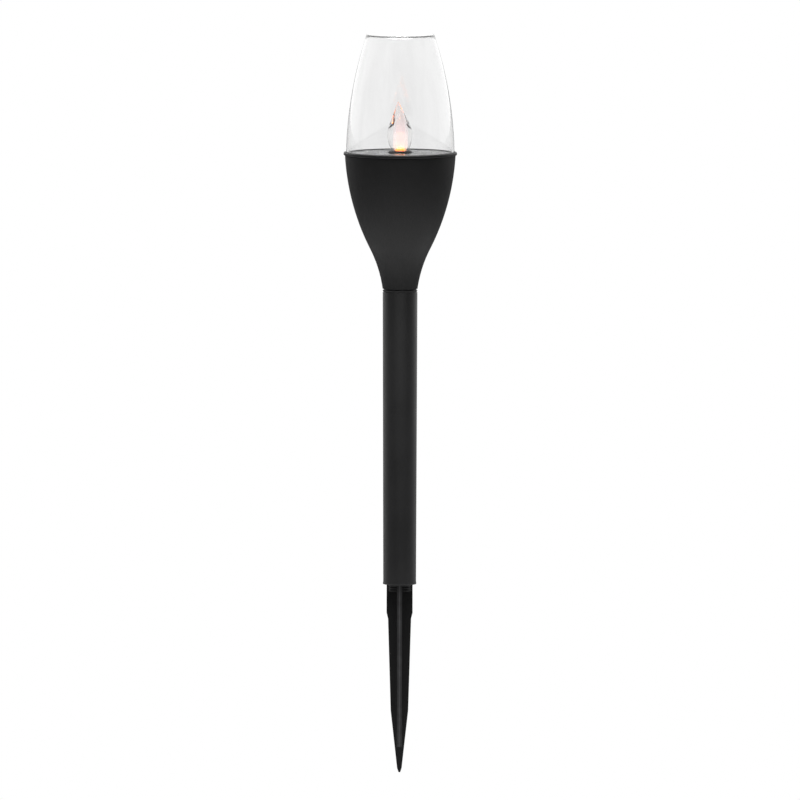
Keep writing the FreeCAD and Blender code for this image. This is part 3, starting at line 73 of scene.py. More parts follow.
camera_data = bpy.data.cameras.new("camera")
camera_data.lens = LENS
camera_data.sensor_width = SENSOR
camera = bpy.data.objects.new("camera", camera_data)
away = LENS / SENSOR * SEEN_ACROSS
camera.location = AIM + away * Vector((0, -math.cos(LOOKS_DOWN), math.sin(LOOKS_DOWN)))
turned_down = Matrix.Rotation(math.pi / 2 - LOOKS_DOWN, 3, "X") @ Matrix.Rotation(ROLLED, 3, "Z")
camera.rotation_euler = turned_down.to_euler()
bpy.context.scene.collection.objects.link(camera)
bpy.context.scene.camera = camera


def put(tree, kind, values=(), **settings):
    """A node with its settings, and with values for its inputs by name."""
    made = tree.nodes.new(kind)
    for key, value in settings.items():
        setattr(made, key, value)
    for key, value in dict(values).items():
        made.inputs[key].default_value = value
    return made


def ramp(tree, source, *stops):
    """A colour ramp on a value: each stop is a position and a grey or a colour."""
    made = tree.nodes.new("ShaderNodeValToRGB")
    bar = made.color_ramp.elements
    while len(bar) < len(stops):
        bar.new(0.5)
    for element, (position, colour) in zip(bar, stops):
        element.position = position
        element.color = (*colour, 1) if isinstance(colour, tuple) else (colour, colour, colour, 1)
    tree.links.new(source, made.inputs["Fac"])
    return made.outputs["Color"]


SWEEP_WHITE = 1.0
SWEEP_BEHIND = 1.3
SWEEP_EDGE = 0.95
ROOM_BESIDE = 0.27
ROOM_IN_FRONT = 0.11
OVERHEAD = 0.25
SEEN_THROUGH_IN_FRONT = 0.35

world = bpy.data.worlds.new("sweep")
world.use_nodes = True
bpy.context.scene.world = world
air = world.node_tree
background = air.nodes["Background"]
direction = put(air, "ShaderNodeTexCoord")
parts = put(air, "ShaderNodeSeparateXYZ")
air.links.new(direction.outputs["Generated"], parts.inputs["Vector"])
depth = put(air, "ShaderNodeMapRange", {"From Min": -1.0, "From Max": 1.0})
air.links.new(parts.outputs["Y"], depth.inputs["Value"])
around = ramp(air, depth.outputs["Result"], (0.25, ROOM_IN_FRONT), (0.52, ROOM_BESIDE),
              (0.72, SWEEP_EDGE), (1.0, SWEEP_BEHIND))
height = put(air, "ShaderNodeMapRange", {"From Min": 0.35, "From Max": 0.8})
air.links.new(parts.outputs["Z"], height.inputs["Value"])
lit = put(air, "ShaderNodeMix", data_type="RGBA")
air.links.new(height.outputs["Result"], lit.inputs[0])
air.links.new(around, lit.inputs[6])
lit.inputs[7].default_value = (OVERHEAD, OVERHEAD, OVERHEAD, 1)
ray = put(air, "ShaderNodeLightPath")
through = put(air, "ShaderNodeMath", operation="MULTIPLY")
air.links.new(ray.outputs["Is Transmission Ray"], through.inputs[0])
air.links.new(ramp(air, depth.outputs["Result"], (0.15, SEEN_THROUGH_IN_FRONT), (0.35, 1.0)),
              through.inputs[1])
seen = put(air, "ShaderNodeMath", operation="MAXIMUM")
air.links.new(ray.outputs["Is Camera Ray"], seen.inputs[0])
air.links.new(through.outputs["Value"], seen.inputs[1])
shown = put(air, "ShaderNodeMix", data_type="RGBA")
air.links.new(seen.outputs["Value"], shown.inputs[0])
air.links.new(lit.outputs[2], shown.inputs[6])
shown.inputs[7].default_value = (SWEEP_WHITE, SWEEP_WHITE, SWEEP_WHITE, 1)
air.links.new(shown.outputs[2], background.inputs["Color"])

scene = bpy.context.scene
scene.view_settings.view_transform = "Standard"
scene.view_settings.look = "None"
# the shade and the lens are passed through many times before a ray gets out
BOUNCES = 32
for bounces in ("max_bounces", "transmission_bounces", "glossy_bounces"):
    setattr(scene.cycles, bounces, BOUNCES)

SOFTBOX_SIDE = 0.6
SOFTBOX_HEIGHT = 1.1
SOFTBOX_FORWARD = 0.15
SOFTBOX_WATTS = 13.0

softbox_data = bpy.data.lights.new("softbox", "AREA")
softbox_data.size = SOFTBOX_SIDE
softbox_data.energy = SOFTBOX_WATTS
softbox = bpy.data.objects.new("softbox", softbox_data)
softbox.location = (0, -SOFTBOX_FORWARD, SOFTBOX_HEIGHT)
scene.collection.objects.link(softbox)

FLOOR_SPAN = 80.0
CARD_GREY = 0.92
FLOOR_GREY = 0.22
CARD_RADIUS = 0.45
CARD_FADE = 0.2
FLOOR_GAP = 0.2 * MM

floor_mesh = bpy.data.meshes.new("floor")
shape = bmesh.new()
bmesh.ops.create_grid(shape, x_segments=1, y_segments=1, size=FLOOR_SPAN / 2)
bmesh.ops.translate(shape, verts=shape.verts, vec=(0, 0, cad_box[0][2] - FLOOR_GAP))
shape.to_mesh(floor_mesh)
shape.free()
floor = bpy.data.objects.new("floor", floor_mesh)
scene.collection.objects.link(floor)
paint = bpy.data.materials.new("pale_floor")
paint.use_nodes = True
tree = paint.node_tree
matt = tree.nodes["Principled BSDF"]
where = put(tree, "ShaderNodeTexCoord")
from_torch = put(tree, "ShaderNodeVectorMath", operation="LENGTH")
tree.links.new(where.outputs["Object"], from_torch.inputs[0])
tree.links.new(ramp(tree, from_torch.outputs["Value"], (CARD_RADIUS, CARD_GREY),
                    (CARD_RADIUS + CARD_FADE, FLOOR_GREY)), matt.inputs["Base Color"])
matt.inputs["Roughness"].default_value = 0.9
glow = put(tree, "ShaderNodeEmission", {"Strength": SWEEP_WHITE})
ray = put(tree, "ShaderNodeLightPath")
seen = put(tree, "ShaderNodeMath", operation="MAXIMUM")
tree.links.new(ray.outputs["Is Camera Ray"], seen.inputs[0])
tree.links.new(ray.outputs["Is Transmission Ray"], seen.inputs[1])
choice = put(tree, "ShaderNodeMixShader")
tree.links.new(seen.outputs["Value"], choice.inputs[0])
tree.links.new(matt.outputs["BSDF"], choice.inputs[1])
tree.links.new(glow.outputs["Emission"], choice.inputs[2])
tree.links.new(choice.outputs["Shader"], tree.nodes["Material Output"].inputs["Surface"])
floor_mesh.materials.append(paint)


# ---------------------------------------------------------------- ground spike
# The lowest moulding: a hollow round plug that enters the pole, a grooved collar, and four thin fins.
# Two of the fins stop short; the other two run on as a flat blade to the tip. Every edge is rounded,
# as the mould leaves it.


class Outline:
    """A line drawn beside the axis, a stretch at a time, and then turned about Z."""

    def __init__(self, r, z):
        self.bm = bmesh.new()
        self.end = self.bm.verts.new((r, 0, z))

    def line(self, r, z):
        self.end = bmesh.ops.extrude_vert_indiv(self.bm, verts=[self.end])["verts"][0]
        self.end.co = (r, 0, z)
        return self

    def arc(self, through, to, steps=10):
        """An arc through one point to another."""
        a, b, c = (self.end.co.xz, Vector(through), Vector(to))
        ab, ac = b - a, c - a
        twice = 2 * ab.cross(ac)
        centre = a + Vector((ac.y * ab.length_squared - ab.y * ac.length_squared,
                             ab.x * ac.length_squared - ac.x * ab.length_squared)) / twice
        sweep = sum(math.atan2(q.cross(p), p.dot(q))
                    for p, q in ((a - centre, b - centre), (b - centre, c - centre)))
        made = bmesh.ops.spin(self.bm, geom=[self.end], cent=(centre.x, 0, centre.y), axis=(0, 1, 0),
                              angle=sweep, steps=steps)
        self.end = next(v for v in made["geom_last"] if isinstance(v, bmesh.types.BMVert))
        return self

    def turned(self, steps=128):
        """The bmesh of the outline's full turn, its doubles merged and its faces outwards."""
        bm = self.bm
        bmesh.ops.spin(bm, geom=bm.verts[:] + bm.edges[:], cent=(0, 0, 0), axis=(0, 0, 1),
                       angle=math.tau, steps=steps, use_merge=True)
        bmesh.ops.remove_doubles(bm, verts=bm.verts, dist=0.001 * MM)
        bmesh.ops.recalc_face_normals(bm, faces=bm.faces)
        return bm


def rounded(bm, width, segments=3, over=35, where=lambda edge: True):
    """Rounds the edges whose faces turn by more than an angle."""
    edges = [e for e in bm.edges
             if e.is_manifold and e.calc_face_angle() > math.radians(over) and where(e)]
    bmesh.ops.bevel(bm, geom=edges, offset=width, offset_type="OFFSET", affect="EDGES",
                    segments=segments, profile=0.5, material=-1, clamp_overlap=True)
    return bm


def joined(bm, other):
    """Adds another bmesh's shells to this one."""
    loose = bpy.data.meshes.new("loose")
    other.to_mesh(loose)
    other.free()
    bm.from_mesh(loose)
    bpy.data.meshes.remove(loose)
    return bm


def piece(name, bm, material, body, replaces=(), smooth_to=40):
    """Makes the object, shades it and places it on its body."""
    mesh = bpy.data.meshes.new(name)
    bm.to_mesh(mesh)
    bm.free()
    mesh.shade_smooth()
    mesh.set_sharp_from_angle(angle=math.radians(smooth_to))
    made = bpy.data.objects.new(name, mesh)
    scene.collection.objects.link(made)
    for one in (material if isinstance(material, tuple) else (material,)):
        mesh.materials.append(one)
    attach(made, body)
    if replaces:
        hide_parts(*replaces)
    return made


def moulded_grain():
    """The fine matte texture of a spark-eroded mould: a colour variation, a roughness and a height."""
    group = bpy.data.node_groups.new("moulded_grain", "ShaderNodeTree")
    for name, kind in (("Scale", "NodeSocketFloat"), ("Streaks", "NodeSocketFloat")):
        group.interface.new_socket(name=name, in_out="INPUT", socket_type=kind)
    for name in ("Shade", "Gloss", "Height"):
        group.interface.new_socket(name=name, in_out="OUTPUT", socket_type="NodeSocketFloat")
    ends = put(group, "NodeGroupInput")
    out = put(group, "NodeGroupOutput")
    where = put(group, "ShaderNodeTexCoord")
    fine = put(group, "ShaderNodeTexNoise", {"Detail": 3.0, "Roughness": 0.6})
    group.links.new(where.outputs["Object"], fine.inputs["Vector"])
    group.links.new(ends.outputs["Scale"], fine.inputs["Scale"])
    pits = put(group, "ShaderNodeTexVoronoi", feature="F1")
    denser = put(group, "ShaderNodeMath", operation="MULTIPLY")
    denser.inputs[1].default_value = 1.7
    group.links.new(ends.outputs["Scale"], denser.inputs[0])
    group.links.new(where.outputs["Object"], pits.inputs["Vector"])
    group.links.new(denser.outputs["Value"], pits.inputs["Scale"])
    both = put(group, "ShaderNodeMath", operation="MULTIPLY_ADD")
    both.inputs[1].default_value = 0.6
    group.links.new(pits.outputs["Distance"], both.inputs[0])
    group.links.new(fine.outputs["Fac"], both.inputs[2])
    group.links.new(both.outputs["Value"], out.inputs["Height"])
    # long, faint flow lines from the gate, and broad patches of handling
    stretch = put(group, "ShaderNodeMapping", {"Scale": (260.0, 260.0, 9.0)})
    group.links.new(where.outputs["Object"], stretch.inputs["Vector"])
    flow = put(group, "ShaderNodeTexNoise", {"Scale": 1.0, "Detail": 4.0})
    group.links.new(stretch.outputs["Vector"], flow.inputs["Vector"])
    patches = put(group, "ShaderNodeTexNoise", {"Scale": 45.0, "Detail": 3.0})
    group.links.new(where.outputs["Object"], patches.inputs["Vector"])
    streaked = put(group, "ShaderNodeMix", data_type="FLOAT")
    group.links.new(ends.outputs["Streaks"], streaked.inputs[0])
    group.links.new(patches.outputs["Fac"], streaked.inputs[2])
    group.links.new(flow.outputs["Fac"], streaked.inputs[3])
    group.links.new(streaked.outputs[0], out.inputs["Gloss"])
    shade = put(group, "ShaderNodeMath", operation="MULTIPLY_ADD")
    shade.inputs[1].default_value = 0.5
    halved = put(group, "ShaderNodeMath", operation="MULTIPLY")
    halved.inputs[1].default_value = 0.5
    group.links.new(fine.outputs["Fac"], halved.inputs[0])
    group.links.new(streaked.outputs[0], shade.inputs[0])
    group.links.new(halved.outputs["Value"], shade.inputs[2])
    group.links.new(shade.outputs["Value"], out.inputs["Shade"])
    return group


GRAIN = moulded_grain()


def moulding(name, dark, light, smoothest, roughest, grain=2600.0, streaks=0.4, bump=0.05,
             specular=0.5):
    """An injection-moulded plastic with the mould's grain on it."""
    made = bpy.data.materials.new(name)
    made.use_nodes = True
    tree = made.node_tree
    surface = tree.nodes["Principled BSDF"]
    texture = put(tree, "ShaderNodeGroup", node_tree=GRAIN)
    texture.inputs["Scale"].default_value = grain
    texture.inputs["Streaks"].default_value = streaks
    tree.links.new(ramp(tree, texture.outputs["Shade"], (0.32, dark), (0.68, light)),
                   surface.inputs["Base Color"])
    tree.links.new(ramp(tree, texture.outputs["Gloss"], (0.3, smoothest), (0.7, roughest)),
                   surface.inputs["Roughness"])
    relief = put(tree, "ShaderNodeBump", {"Strength": bump, "Distance": 0.2 * MM})
    tree.links.new(texture.outputs["Height"], relief.inputs["Height"])
    tree.links.new(relief.outputs["Normal"], surface.inputs["Normal"])
    surface.inputs["Specular IOR Level"].default_value = specular
    return made


SPIKE_PLUG_RADIUS = 6.9 * MM
SPIKE_CORE_RADIUS = 5.2 * MM
SPIKE_CORE_DEPTH = 19.0 * MM
SPIKE_COLLAR = 3.7 * MM
SPIKE_COLLAR_RADIUS = 6.3 * MM
COLLAR_GROOVES = (1.2, 2.4)
FIN_HALF_THICKNESS = 1.3 * MM
FINS_STOP = 86.6                # depth below ground where the front and back fins end
# depth below ground and reach of the fins at each change of their taper
FIN_STATIONS = [(-0.6, 6.88), (15.2, 6.9), (18.4, 6.1), (67.2, 4.65), (FINS_STOP, 2.48), (98.1, 1.2),
                (100.3, 0.45)]
FIN_ROUNDING = 0.55 * MM
FIN_ROOT = 0.9 * MM
FIN_END_RISE = 1.6 * MM         # of the front and back fins' ends, from root to edge

spike_black = moulding("spike_black", (0.0042, 0.0042, 0.0045), (0.0082, 0.0082, 0.0086), 0.3, 0.42,
                       grain=1500.0, streaks=0.7, bump=0.03, specular=0.16)


def painted_edge_highlight(material, pale, line):
    """Painted highlight: fin edges painted paler than the sides, and a paler line down their middle on
    the mould's parting line.
    """
    tree = material.node_tree
    surface = tree.nodes["Principled BSDF"]
    black = surface.inputs["Base Color"].links[0].from_socket
    lit_edge_mask = put(tree, "ShaderNodeAttribute", attribute_name="fin_edge")
    where = put(tree, "ShaderNodeTexCoord")
    split = put(tree, "ShaderNodeSeparateXYZ")
    tree.links.new(where.outputs["Object"], split.inputs["Vector"])
    off_middle = put(tree, "ShaderNodeMath", operation="ABSOLUTE")
    tree.links.new(split.outputs["X"], off_middle.inputs[0])
    middle_highlight = put(tree, "ShaderNodeMapRange", {"From Min": 0.1 * MM, "From Max": 0.6 * MM,
                                             "To Min": 1.0, "To Max": 0.0})
    tree.links.new(off_middle.outputs["Value"], middle_highlight.inputs["Value"])
    highlight_breakup = put(tree, "ShaderNodeTexNoise", {"Scale": 220.0, "Detail": 4.0})
    tree.links.new(where.outputs["Object"], highlight_breakup.inputs["Vector"])
    amount = put(tree, "ShaderNodeMath", operation="MULTIPLY")
    tree.links.new(lit_edge_mask.outputs["Fac"], amount.inputs[0])
    tree.links.new(ramp(tree, highlight_breakup.outputs["Fac"], (0.3, 0.55), (0.65, 1.0)), amount.inputs[1])
    with_edge = put(tree, "ShaderNodeMix", data_type="RGBA")
    tree.links.new(amount.outputs["Value"], with_edge.inputs[0])
    tree.links.new(black, with_edge.inputs[6])
    with_edge.inputs[7].default_value = (*pale, 1)
    on_line = put(tree, "ShaderNodeMath", operation="MULTIPLY")
    tree.links.new(amount.outputs["Value"], on_line.inputs[0])
    tree.links.new(middle_highlight.outputs["Result"], on_line.inputs[1])
    with_line = put(tree, "ShaderNodeMix", data_type="RGBA")
    tree.links.new(on_line.outputs["Value"], with_line.inputs[0])
    tree.links.new(with_edge.outputs[2], with_line.inputs[6])
    with_line.inputs[7].default_value = (*line, 1)
    tree.links.new(with_line.outputs[2], surface.inputs["Base Color"])


# a painted highlight on the fins' outer edges, brightest along the parting line
painted_edge_highlight(spike_black, (0.035, 0.035, 0.036), (0.075, 0.075, 0.077))


def finned_blade():
    """A square core drawn down from the collar, its sides pulled out into fins."""
    bm = bmesh.new()
    bmesh.ops.create_grid(bm, x_segments=1, y_segments=1, size=FIN_HALF_THICKNESS)
    bmesh.ops.translate(bm, verts=bm.verts, vec=(0, 0, -FIN_STATIONS[0][0] * MM))
    bmesh.ops.reverse_faces(bm, faces=bm.faces)
    foot = bm.faces[:]
    for depth, reach in FIN_STATIONS[1:]:
        made = bmesh.ops.extrude_face_region(bm, geom=foot)["geom"]
        bmesh.ops.delete(bm, geom=foot, context="FACES_ONLY")
        foot = [f for f in made if isinstance(f, bmesh.types.BMFace)]
        half = min(FIN_HALF_THICKNESS, 0.7 * reach * MM)
        for v in {v for f in foot for v in f.verts}:
            v.co = (math.copysign(half, v.co.x), math.copysign(half, v.co.y), -depth * MM)
    bmesh.ops.contextual_create(bm, geom=[e for e in bm.edges if e.is_boundary])
    bmesh.ops.recalc_face_normals(bm, faces=bm.faces)
    reach_at = {round(depth, 3): reach * MM for depth, reach in FIN_STATIONS}
    for axis, last in ((0, FIN_STATIONS[-1][0]), (1, FINS_STOP)):
        for side in (1, -1):
            flank = [f for f in bm.faces if f.normal[axis] * side > 0.9
                     and abs(f.calc_center_median()[axis]) < FIN_HALF_THICKNESS * 1.01
                     and abs(f.calc_center_median()[1 - axis]) < 0.1 * MM
                     and f.calc_center_median().z > -last * MM]
            made = bmesh.ops.extrude_face_region(bm, geom=flank)["geom"]
            bmesh.ops.delete(bm, geom=flank, context="FACES_ONLY")
            for v in [v for v in made if isinstance(v, bmesh.types.BMVert)]:
                depth = round(-v.co.z / MM, 3)
                v.co[axis] = side * reach_at[depth]
                if axis == 1 and depth == FINS_STOP:
                    v.co.z += FIN_END_RISE
    bmesh.ops.recalc_face_normals(bm, faces=bm.faces)
    rounded(bm, FIN_ROOT, segments=4, over=20, where=lambda e: not e.is_convex)
    rounded(bm, FIN_ROUNDING, segments=4, over=25, where=lambda e: e.is_convex)
    bm.normal_update()
    # faces on the fins' outer edges, which the spike's material paints paler as a painted highlight
    edge = bm.loops.layers.float.new("fin_edge")
    for f in bm.faces:
        middle = f.calc_center_median()
        beside = abs(middle.x) > abs(middle.y)
        outer = abs(f.normal.x) if beside else abs(f.normal.y)
        on_fin = beside or middle.z > -FINS_STOP * MM
        if on_fin and outer > 0.35 and min(abs(middle.x), abs(middle.y)) < FIN_HALF_THICKNESS:
            for corner in f.loops:
                corner[edge] = 1.0
    return bm


def ground_spike():
    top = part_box("ground_spike")[1].z
    entry = 1.0 * MM
    groove = 0.25 * MM
    line = Outline(0, top - SPIKE_CORE_DEPTH)
    line.line(SPIKE_CORE_RADIUS, top - SPIKE_CORE_DEPTH).line(SPIKE_CORE_RADIUS, top)
    line.line(SPIKE_PLUG_RADIUS - entry, top).line(SPIKE_PLUG_RADIUS, top - entry)
    line.line(SPIKE_PLUG_RADIUS, 0).line(SPIKE_COLLAR_RADIUS, 0)
    for depth in COLLAR_GROOVES:
        line.line(SPIKE_COLLAR_RADIUS, groove - depth * MM)
        line.line(SPIKE_COLLAR_RADIUS - groove, -depth * MM)
        line.line(SPIKE_COLLAR_RADIUS, -groove - depth * MM)
    line.line(SPIKE_COLLAR_RADIUS, -SPIKE_COLLAR).line(0, -SPIKE_COLLAR)
    plug = rounded(line.turned(96), 0.1 * MM, segments=2, over=40)
    piece("spike", joined(finned_blade(), plug), spike_black, "spike", ["ground_spike"])


ground_spike()


# ---------------------------------------------------------------- pole
# A slim moulded tube, a little wider at the top. Its foot has a socket for the spike's plug, a thin
# web closes it above, and the upper bore takes the bowl's spigot.

POLE_TOP_RADIUS = 9.2 * MM
POLE_FOOT_RADIUS = 8.7 * MM
POLE_LIP_RADIUS = 8.85 * MM
POLE_SOCKET_RADIUS = 6.95 * MM
POLE_SOCKET_DEPTH = 24.0 * MM
POLE_WEB = 2.0 * MM
POLE_BORE_TOP_RADIUS = 7.6 * MM
POLE_BORE_FOOT_RADIUS = 6.68 * MM
POLE_BORE_SEAT = 22.0 * MM
DRAIN_RADIUS = 1.5 * MM
SCORE_DROP = 1.0 * MM
SCORE_DEPTH = 0.4 * MM

satin_black = moulding("satin_black", (0.0095, 0.0095, 0.01), (0.016, 0.016, 0.0165), 0.42, 0.54,
                       grain=2600.0, streaks=0.35, bump=0.08)


def pole():
    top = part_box("pole")[1].z
    web_top = POLE_SOCKET_DEPTH + POLE_WEB
    score = top - SCORE_DROP
    line = Outline(DRAIN_RADIUS, POLE_SOCKET_DEPTH)
    line.line(POLE_SOCKET_RADIUS, POLE_SOCKET_DEPTH).line(POLE_SOCKET_RADIUS, 0.4 * MM)
    line.line(POLE_SOCKET_RADIUS + 0.4 * MM, 0).line(POLE_LIP_RADIUS - 0.2 * MM, 0)
    line.arc((POLE_LIP_RADIUS - 0.06 * MM, 0.06 * MM), (POLE_LIP_RADIUS, 0.2 * MM), 3)
    line.line(POLE_LIP_RADIUS, 0.8 * MM).line(POLE_FOOT_RADIUS, 1.4 * MM)
    line.line(POLE_TOP_RADIUS, score - SCORE_DEPTH).line(POLE_TOP_RADIUS - SCORE_DEPTH, score)
    line.line(POLE_TOP_RADIUS, score + SCORE_DEPTH).line(POLE_TOP_RADIUS, top - 0.4 * MM)
    line.arc((POLE_TOP_RADIUS - 0.12 * MM, top - 0.12 * MM), (POLE_TOP_RADIUS - 0.4 * MM, top), 4)
    line.line(POLE_BORE_TOP_RADIUS, top).line(POLE_BORE_TOP_RADIUS, top - POLE_BORE_SEAT)
    line.line(POLE_BORE_FOOT_RADIUS, web_top).line(DRAIN_RADIUS, web_top)
    line.line(DRAIN_RADIUS, POLE_SOCKET_DEPTH)
    piece("tube", line.turned(128), satin_black, "pole", ["pole"], smooth_to=50)


pole()


# ---------------------------------------------------------------- bowl
# A flared shell in the same satin black moulding as the pole: a full curve down from the mouth that
# turns hollow above the neck. Its material is a darker copy of the pole's, the darker black being
# painted shading. Inside are the bore for the lamp head and a weep hole; below is the spigot.

BOWL_MOUTH_RADIUS = 29.3 * MM
BOWL_BORE_RADIUS = 27.0 * MM
BOWL_BORE_DEPTH = 8.0 * MM
BOWL_NECK_RADIUS = 9.25 * MM
BOWL_WALL = 1.6 * MM
BOWL_FLOOR = 2.4 * MM
SPIGOT_RADIUS = 7.55 * MM
SPIGOT_BORE = 6.05 * MM
NECK_REVEAL = 0.5 * MM
BOWL_HEIGHT = 70.9 * MM         # from the neck's lower edge to the mouth
BOWL_TURN = 21.3 * MM           # above the neck, where the outline turns from hollow to full
# leans of the wall from upright, in degrees; the flank's makes the two arcs meet at the turn
MOUTH_LEAN = 3.1
FLANK_LEAN = 27.0
NECK_LEAN = 8.0
BOWL_EDGE = 0.3 * MM

# a darker copy of the satin black, the difference painted shading; the tray's flange shares it
bowl_black_painted_shading = moulding("bowl_black_painted_shading", (0.0056, 0.0056, 0.006), (0.0128, 0.0128, 0.0133), 0.42, 0.54,
                      grain=1500.0, streaks=0.35, bump=0.25, specular=0.4)


def flare_radius(height):
    """The bowl's outer radius at a height above its neck: two arcs that meet at a lean."""
    mouth, flank, neck = (math.radians(a) for a in (MOUTH_LEAN, FLANK_LEAN, NECK_LEAN))
    full = (BOWL_HEIGHT - BOWL_TURN) / (math.sin(flank) - math.sin(mouth))
    hollow = BOWL_TURN / (math.sin(flank) - math.sin(neck))
    if height > BOWL_TURN:
        drop = BOWL_HEIGHT + full * math.sin(mouth) - height
        return BOWL_MOUTH_RADIUS - full * math.cos(mouth) + math.sqrt(full ** 2 - drop ** 2)
    rise = height + hollow * math.sin(neck)
    return BOWL_NECK_RADIUS + hollow * math.cos(neck) - math.sqrt(hollow ** 2 - rise ** 2)


def bowl():
    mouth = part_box("bowl")[1].z
    spigot_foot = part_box("bowl")[0].z
    neck = mouth - BOWL_HEIGHT
    land = mouth - BOWL_BORE_DEPTH
    turn = neck + BOWL_TURN
    floor_top = neck + BOWL_FLOOR

    def outer(z):
        return (flare_radius(z - neck), z)

    def inner(z):
        """A wall's thickness in from the outside, measured square to it."""
        slope = (flare_radius(z - neck + 0.1 * MM) - flare_radius(z - neck - 0.1 * MM)) / (0.2 * MM)
        lean = math.atan(slope)
        return (flare_radius(z - neck) - BOWL_WALL * math.cos(lean), z + BOWL_WALL * math.sin(lean))

    line = Outline(*outer(mouth - BOWL_EDGE))
    line.arc(outer((mouth + turn) / 2), outer(turn), 28)
    line.arc(outer((turn + neck) / 2), outer(neck + 0.1 * MM), 16)
    line.line(BOWL_NECK_RADIUS - 0.7 * MM, neck).line(BOWL_NECK_RADIUS - 0.7 * MM, neck - NECK_REVEAL)
    line.line(SPIGOT_RADIUS, neck - NECK_REVEAL).line(SPIGOT_RADIUS, spigot_foot + 1.0 * MM)
    line.line(SPIGOT_RADIUS - 1.0 * MM, spigot_foot).line(SPIGOT_BORE, spigot_foot)
    line.line(SPIGOT_BORE, neck - 0.2 * MM).line(DRAIN_RADIUS, neck - 0.2 * MM)
    line.line(DRAIN_RADIUS, floor_top).line(inner(floor_top)[0], floor_top)
    line.arc(inner((floor_top + turn) / 2), inner(turn), 16)
    line.arc(inner((turn + land) / 2), inner(land - 0.6 * MM), 28)
    line.line(BOWL_BORE_RADIUS, land).line(BOWL_BORE_RADIUS, mouth - BOWL_EDGE)
    line.line(BOWL_BORE_RADIUS + BOWL_EDGE, mouth).line(BOWL_MOUTH_RADIUS - BOWL_EDGE, mouth)
    line.line(*outer(mouth - BOWL_EDGE))
    piece("bowl_shell", line.turned(160), bowl_black_painted_shading, "bowl", ["bowl"], smooth_to=38)


bowl()


# ---------------------------------------------------------------- lamp head: tray and seal
# The tray is the head's frame: its flange is the band round the torch, its skirt plugs into the bowl,
# and a black rubber ring round the skirt keeps rain out.


def dress(material, *nodes):
    """Gives CAD pieces their finish."""
    for node in nodes:
        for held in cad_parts[node].material_slots:
            held.material = material


rubber = moulding("seal_rubber", (0.012, 0.012, 0.012), (0.02, 0.02, 0.02), 0.55, 0.7,
                  grain=900.0, bump=0.03)
# the tray's flange takes the bowl's darker copy of the moulding, with its painted shading
dress(bowl_black_painted_shading, "head_tray")
dress(rubber, "head_seal", "shade_gasket")


# ---------------------------------------------------------------- lamp head: cover, door and switch
# Black mouldings that close the head from below: the cup, the cell's door on its hinge pin, and the
# slide switch with its bright frame.

dress(satin_black, "head_cover", "battery_door", "switch_slider")


def metal(name, tone, smoothest, roughest, grain=(900.0, 900.0, 900.0)):
    """Plated or rolled metal: slight stains and a fine run of scratches."""
    made = bpy.data.materials.new(name)
    made.use_nodes = True
    tree = made.node_tree
    surface = tree.nodes["Principled BSDF"]
    where = put(tree, "ShaderNodeTexCoord")
    run = put(tree, "ShaderNodeMapping", {"Scale": grain})
    tree.links.new(where.outputs["Object"], run.inputs["Vector"])
    scratches = put(tree, "ShaderNodeTexNoise", {"Scale": 1.0, "Detail": 4.0})
    tree.links.new(run.outputs["Vector"], scratches.inputs["Vector"])
    darker = tuple(c * 0.78 for c in tone)
    tree.links.new(ramp(tree, scratches.outputs["Fac"], (0.35, darker), (0.65, tone)),
                   surface.inputs["Base Color"])
    tree.links.new(ramp(tree, scratches.outputs["Fac"], (0.3, smoothest), (0.7, roughest)),
                   surface.inputs["Roughness"])
    surface.inputs["Metallic"].default_value = 1.0
    relief = put(tree, "ShaderNodeBump", {"Strength": 0.05, "Distance": 0.05 * MM})
    tree.links.new(scratches.outputs["Fac"], relief.inputs["Height"])
    tree.links.new(relief.outputs["Normal"], surface.inputs["Normal"])
    return made


zinc = metal("zinc_plate", (0.62, 0.62, 0.6), 0.25, 0.42)
tin = metal("tin_plate", (0.7, 0.69, 0.66), 0.2, 0.35)
dress(zinc, "cover_screws", "board_screws", "battery_door_screw", "hinge_pin")
dress(tin, "switch_frame", "switch_terminals", "battery_plate", "battery_spring_plate", "battery_spring",
      "light_legs")
dress(rubber, "switch_body")


# ---------------------------------------------------------------- lamp head: cell, board and leads
# The cell in its green sleeve lies in the cover's box. The green board is screwed to posts under the
# tray and carries the driver's few parts. Insulated red and black leads run to it from the panel, the
# cell's contacts and the switch.

sleeve = moulding("cell_sleeve", (0.03, 0.2, 0.06), (0.05, 0.28, 0.09), 0.25, 0.35,
                  grain=500.0, bump=0.02)
mask = moulding("solder_mask", (0.01, 0.09, 0.03), (0.02, 0.13, 0.05), 0.25, 0.4, grain=700.0, bump=0.02)
chip = moulding("chip_black", (0.015, 0.015, 0.015), (0.025, 0.025, 0.025), 0.45, 0.6, grain=3000.0)
ferrite = moulding("lacquered_ferrite", (0.1, 0.2, 0.12), (0.16, 0.28, 0.18), 0.3, 0.4, grain=900.0)
lacquer = moulding("resistor_lacquer", (0.5, 0.36, 0.2), (0.6, 0.46, 0.28), 0.3, 0.4, grain=900.0)
can = metal("capacitor_can", (0.6, 0.62, 0.66), 0.2, 0.3)
red_wire = moulding("red_insulation", (0.35, 0.01, 0.01), (0.45, 0.02, 0.02), 0.3, 0.4,
                    grain=700.0, bump=0.02)
black_wire = moulding("black_insulation", (0.012, 0.012, 0.012), (0.02, 0.02, 0.02), 0.3, 0.4,
                      grain=700.0, bump=0.02)
dress(sleeve, "battery_cell")
dress(mask, "circuit_board")
dress(chip, "driver_chip")
dress(ferrite, "inductor")
dress(lacquer, "resistors")
dress(can, "capacitor")
dress(red_wire, "panel_lead_red", "battery_lead_red", "switch_lead_red")
dress(black_wire, "panel_lead_black", "battery_lead_black")


# ---------------------------------------------------------------- lamp head: solar panel
# A round black laminate board with four dark silicon cells laid on it like a pinwheel, under poured
# clear resin. It lies in the tray's recess, round the flame's boss.

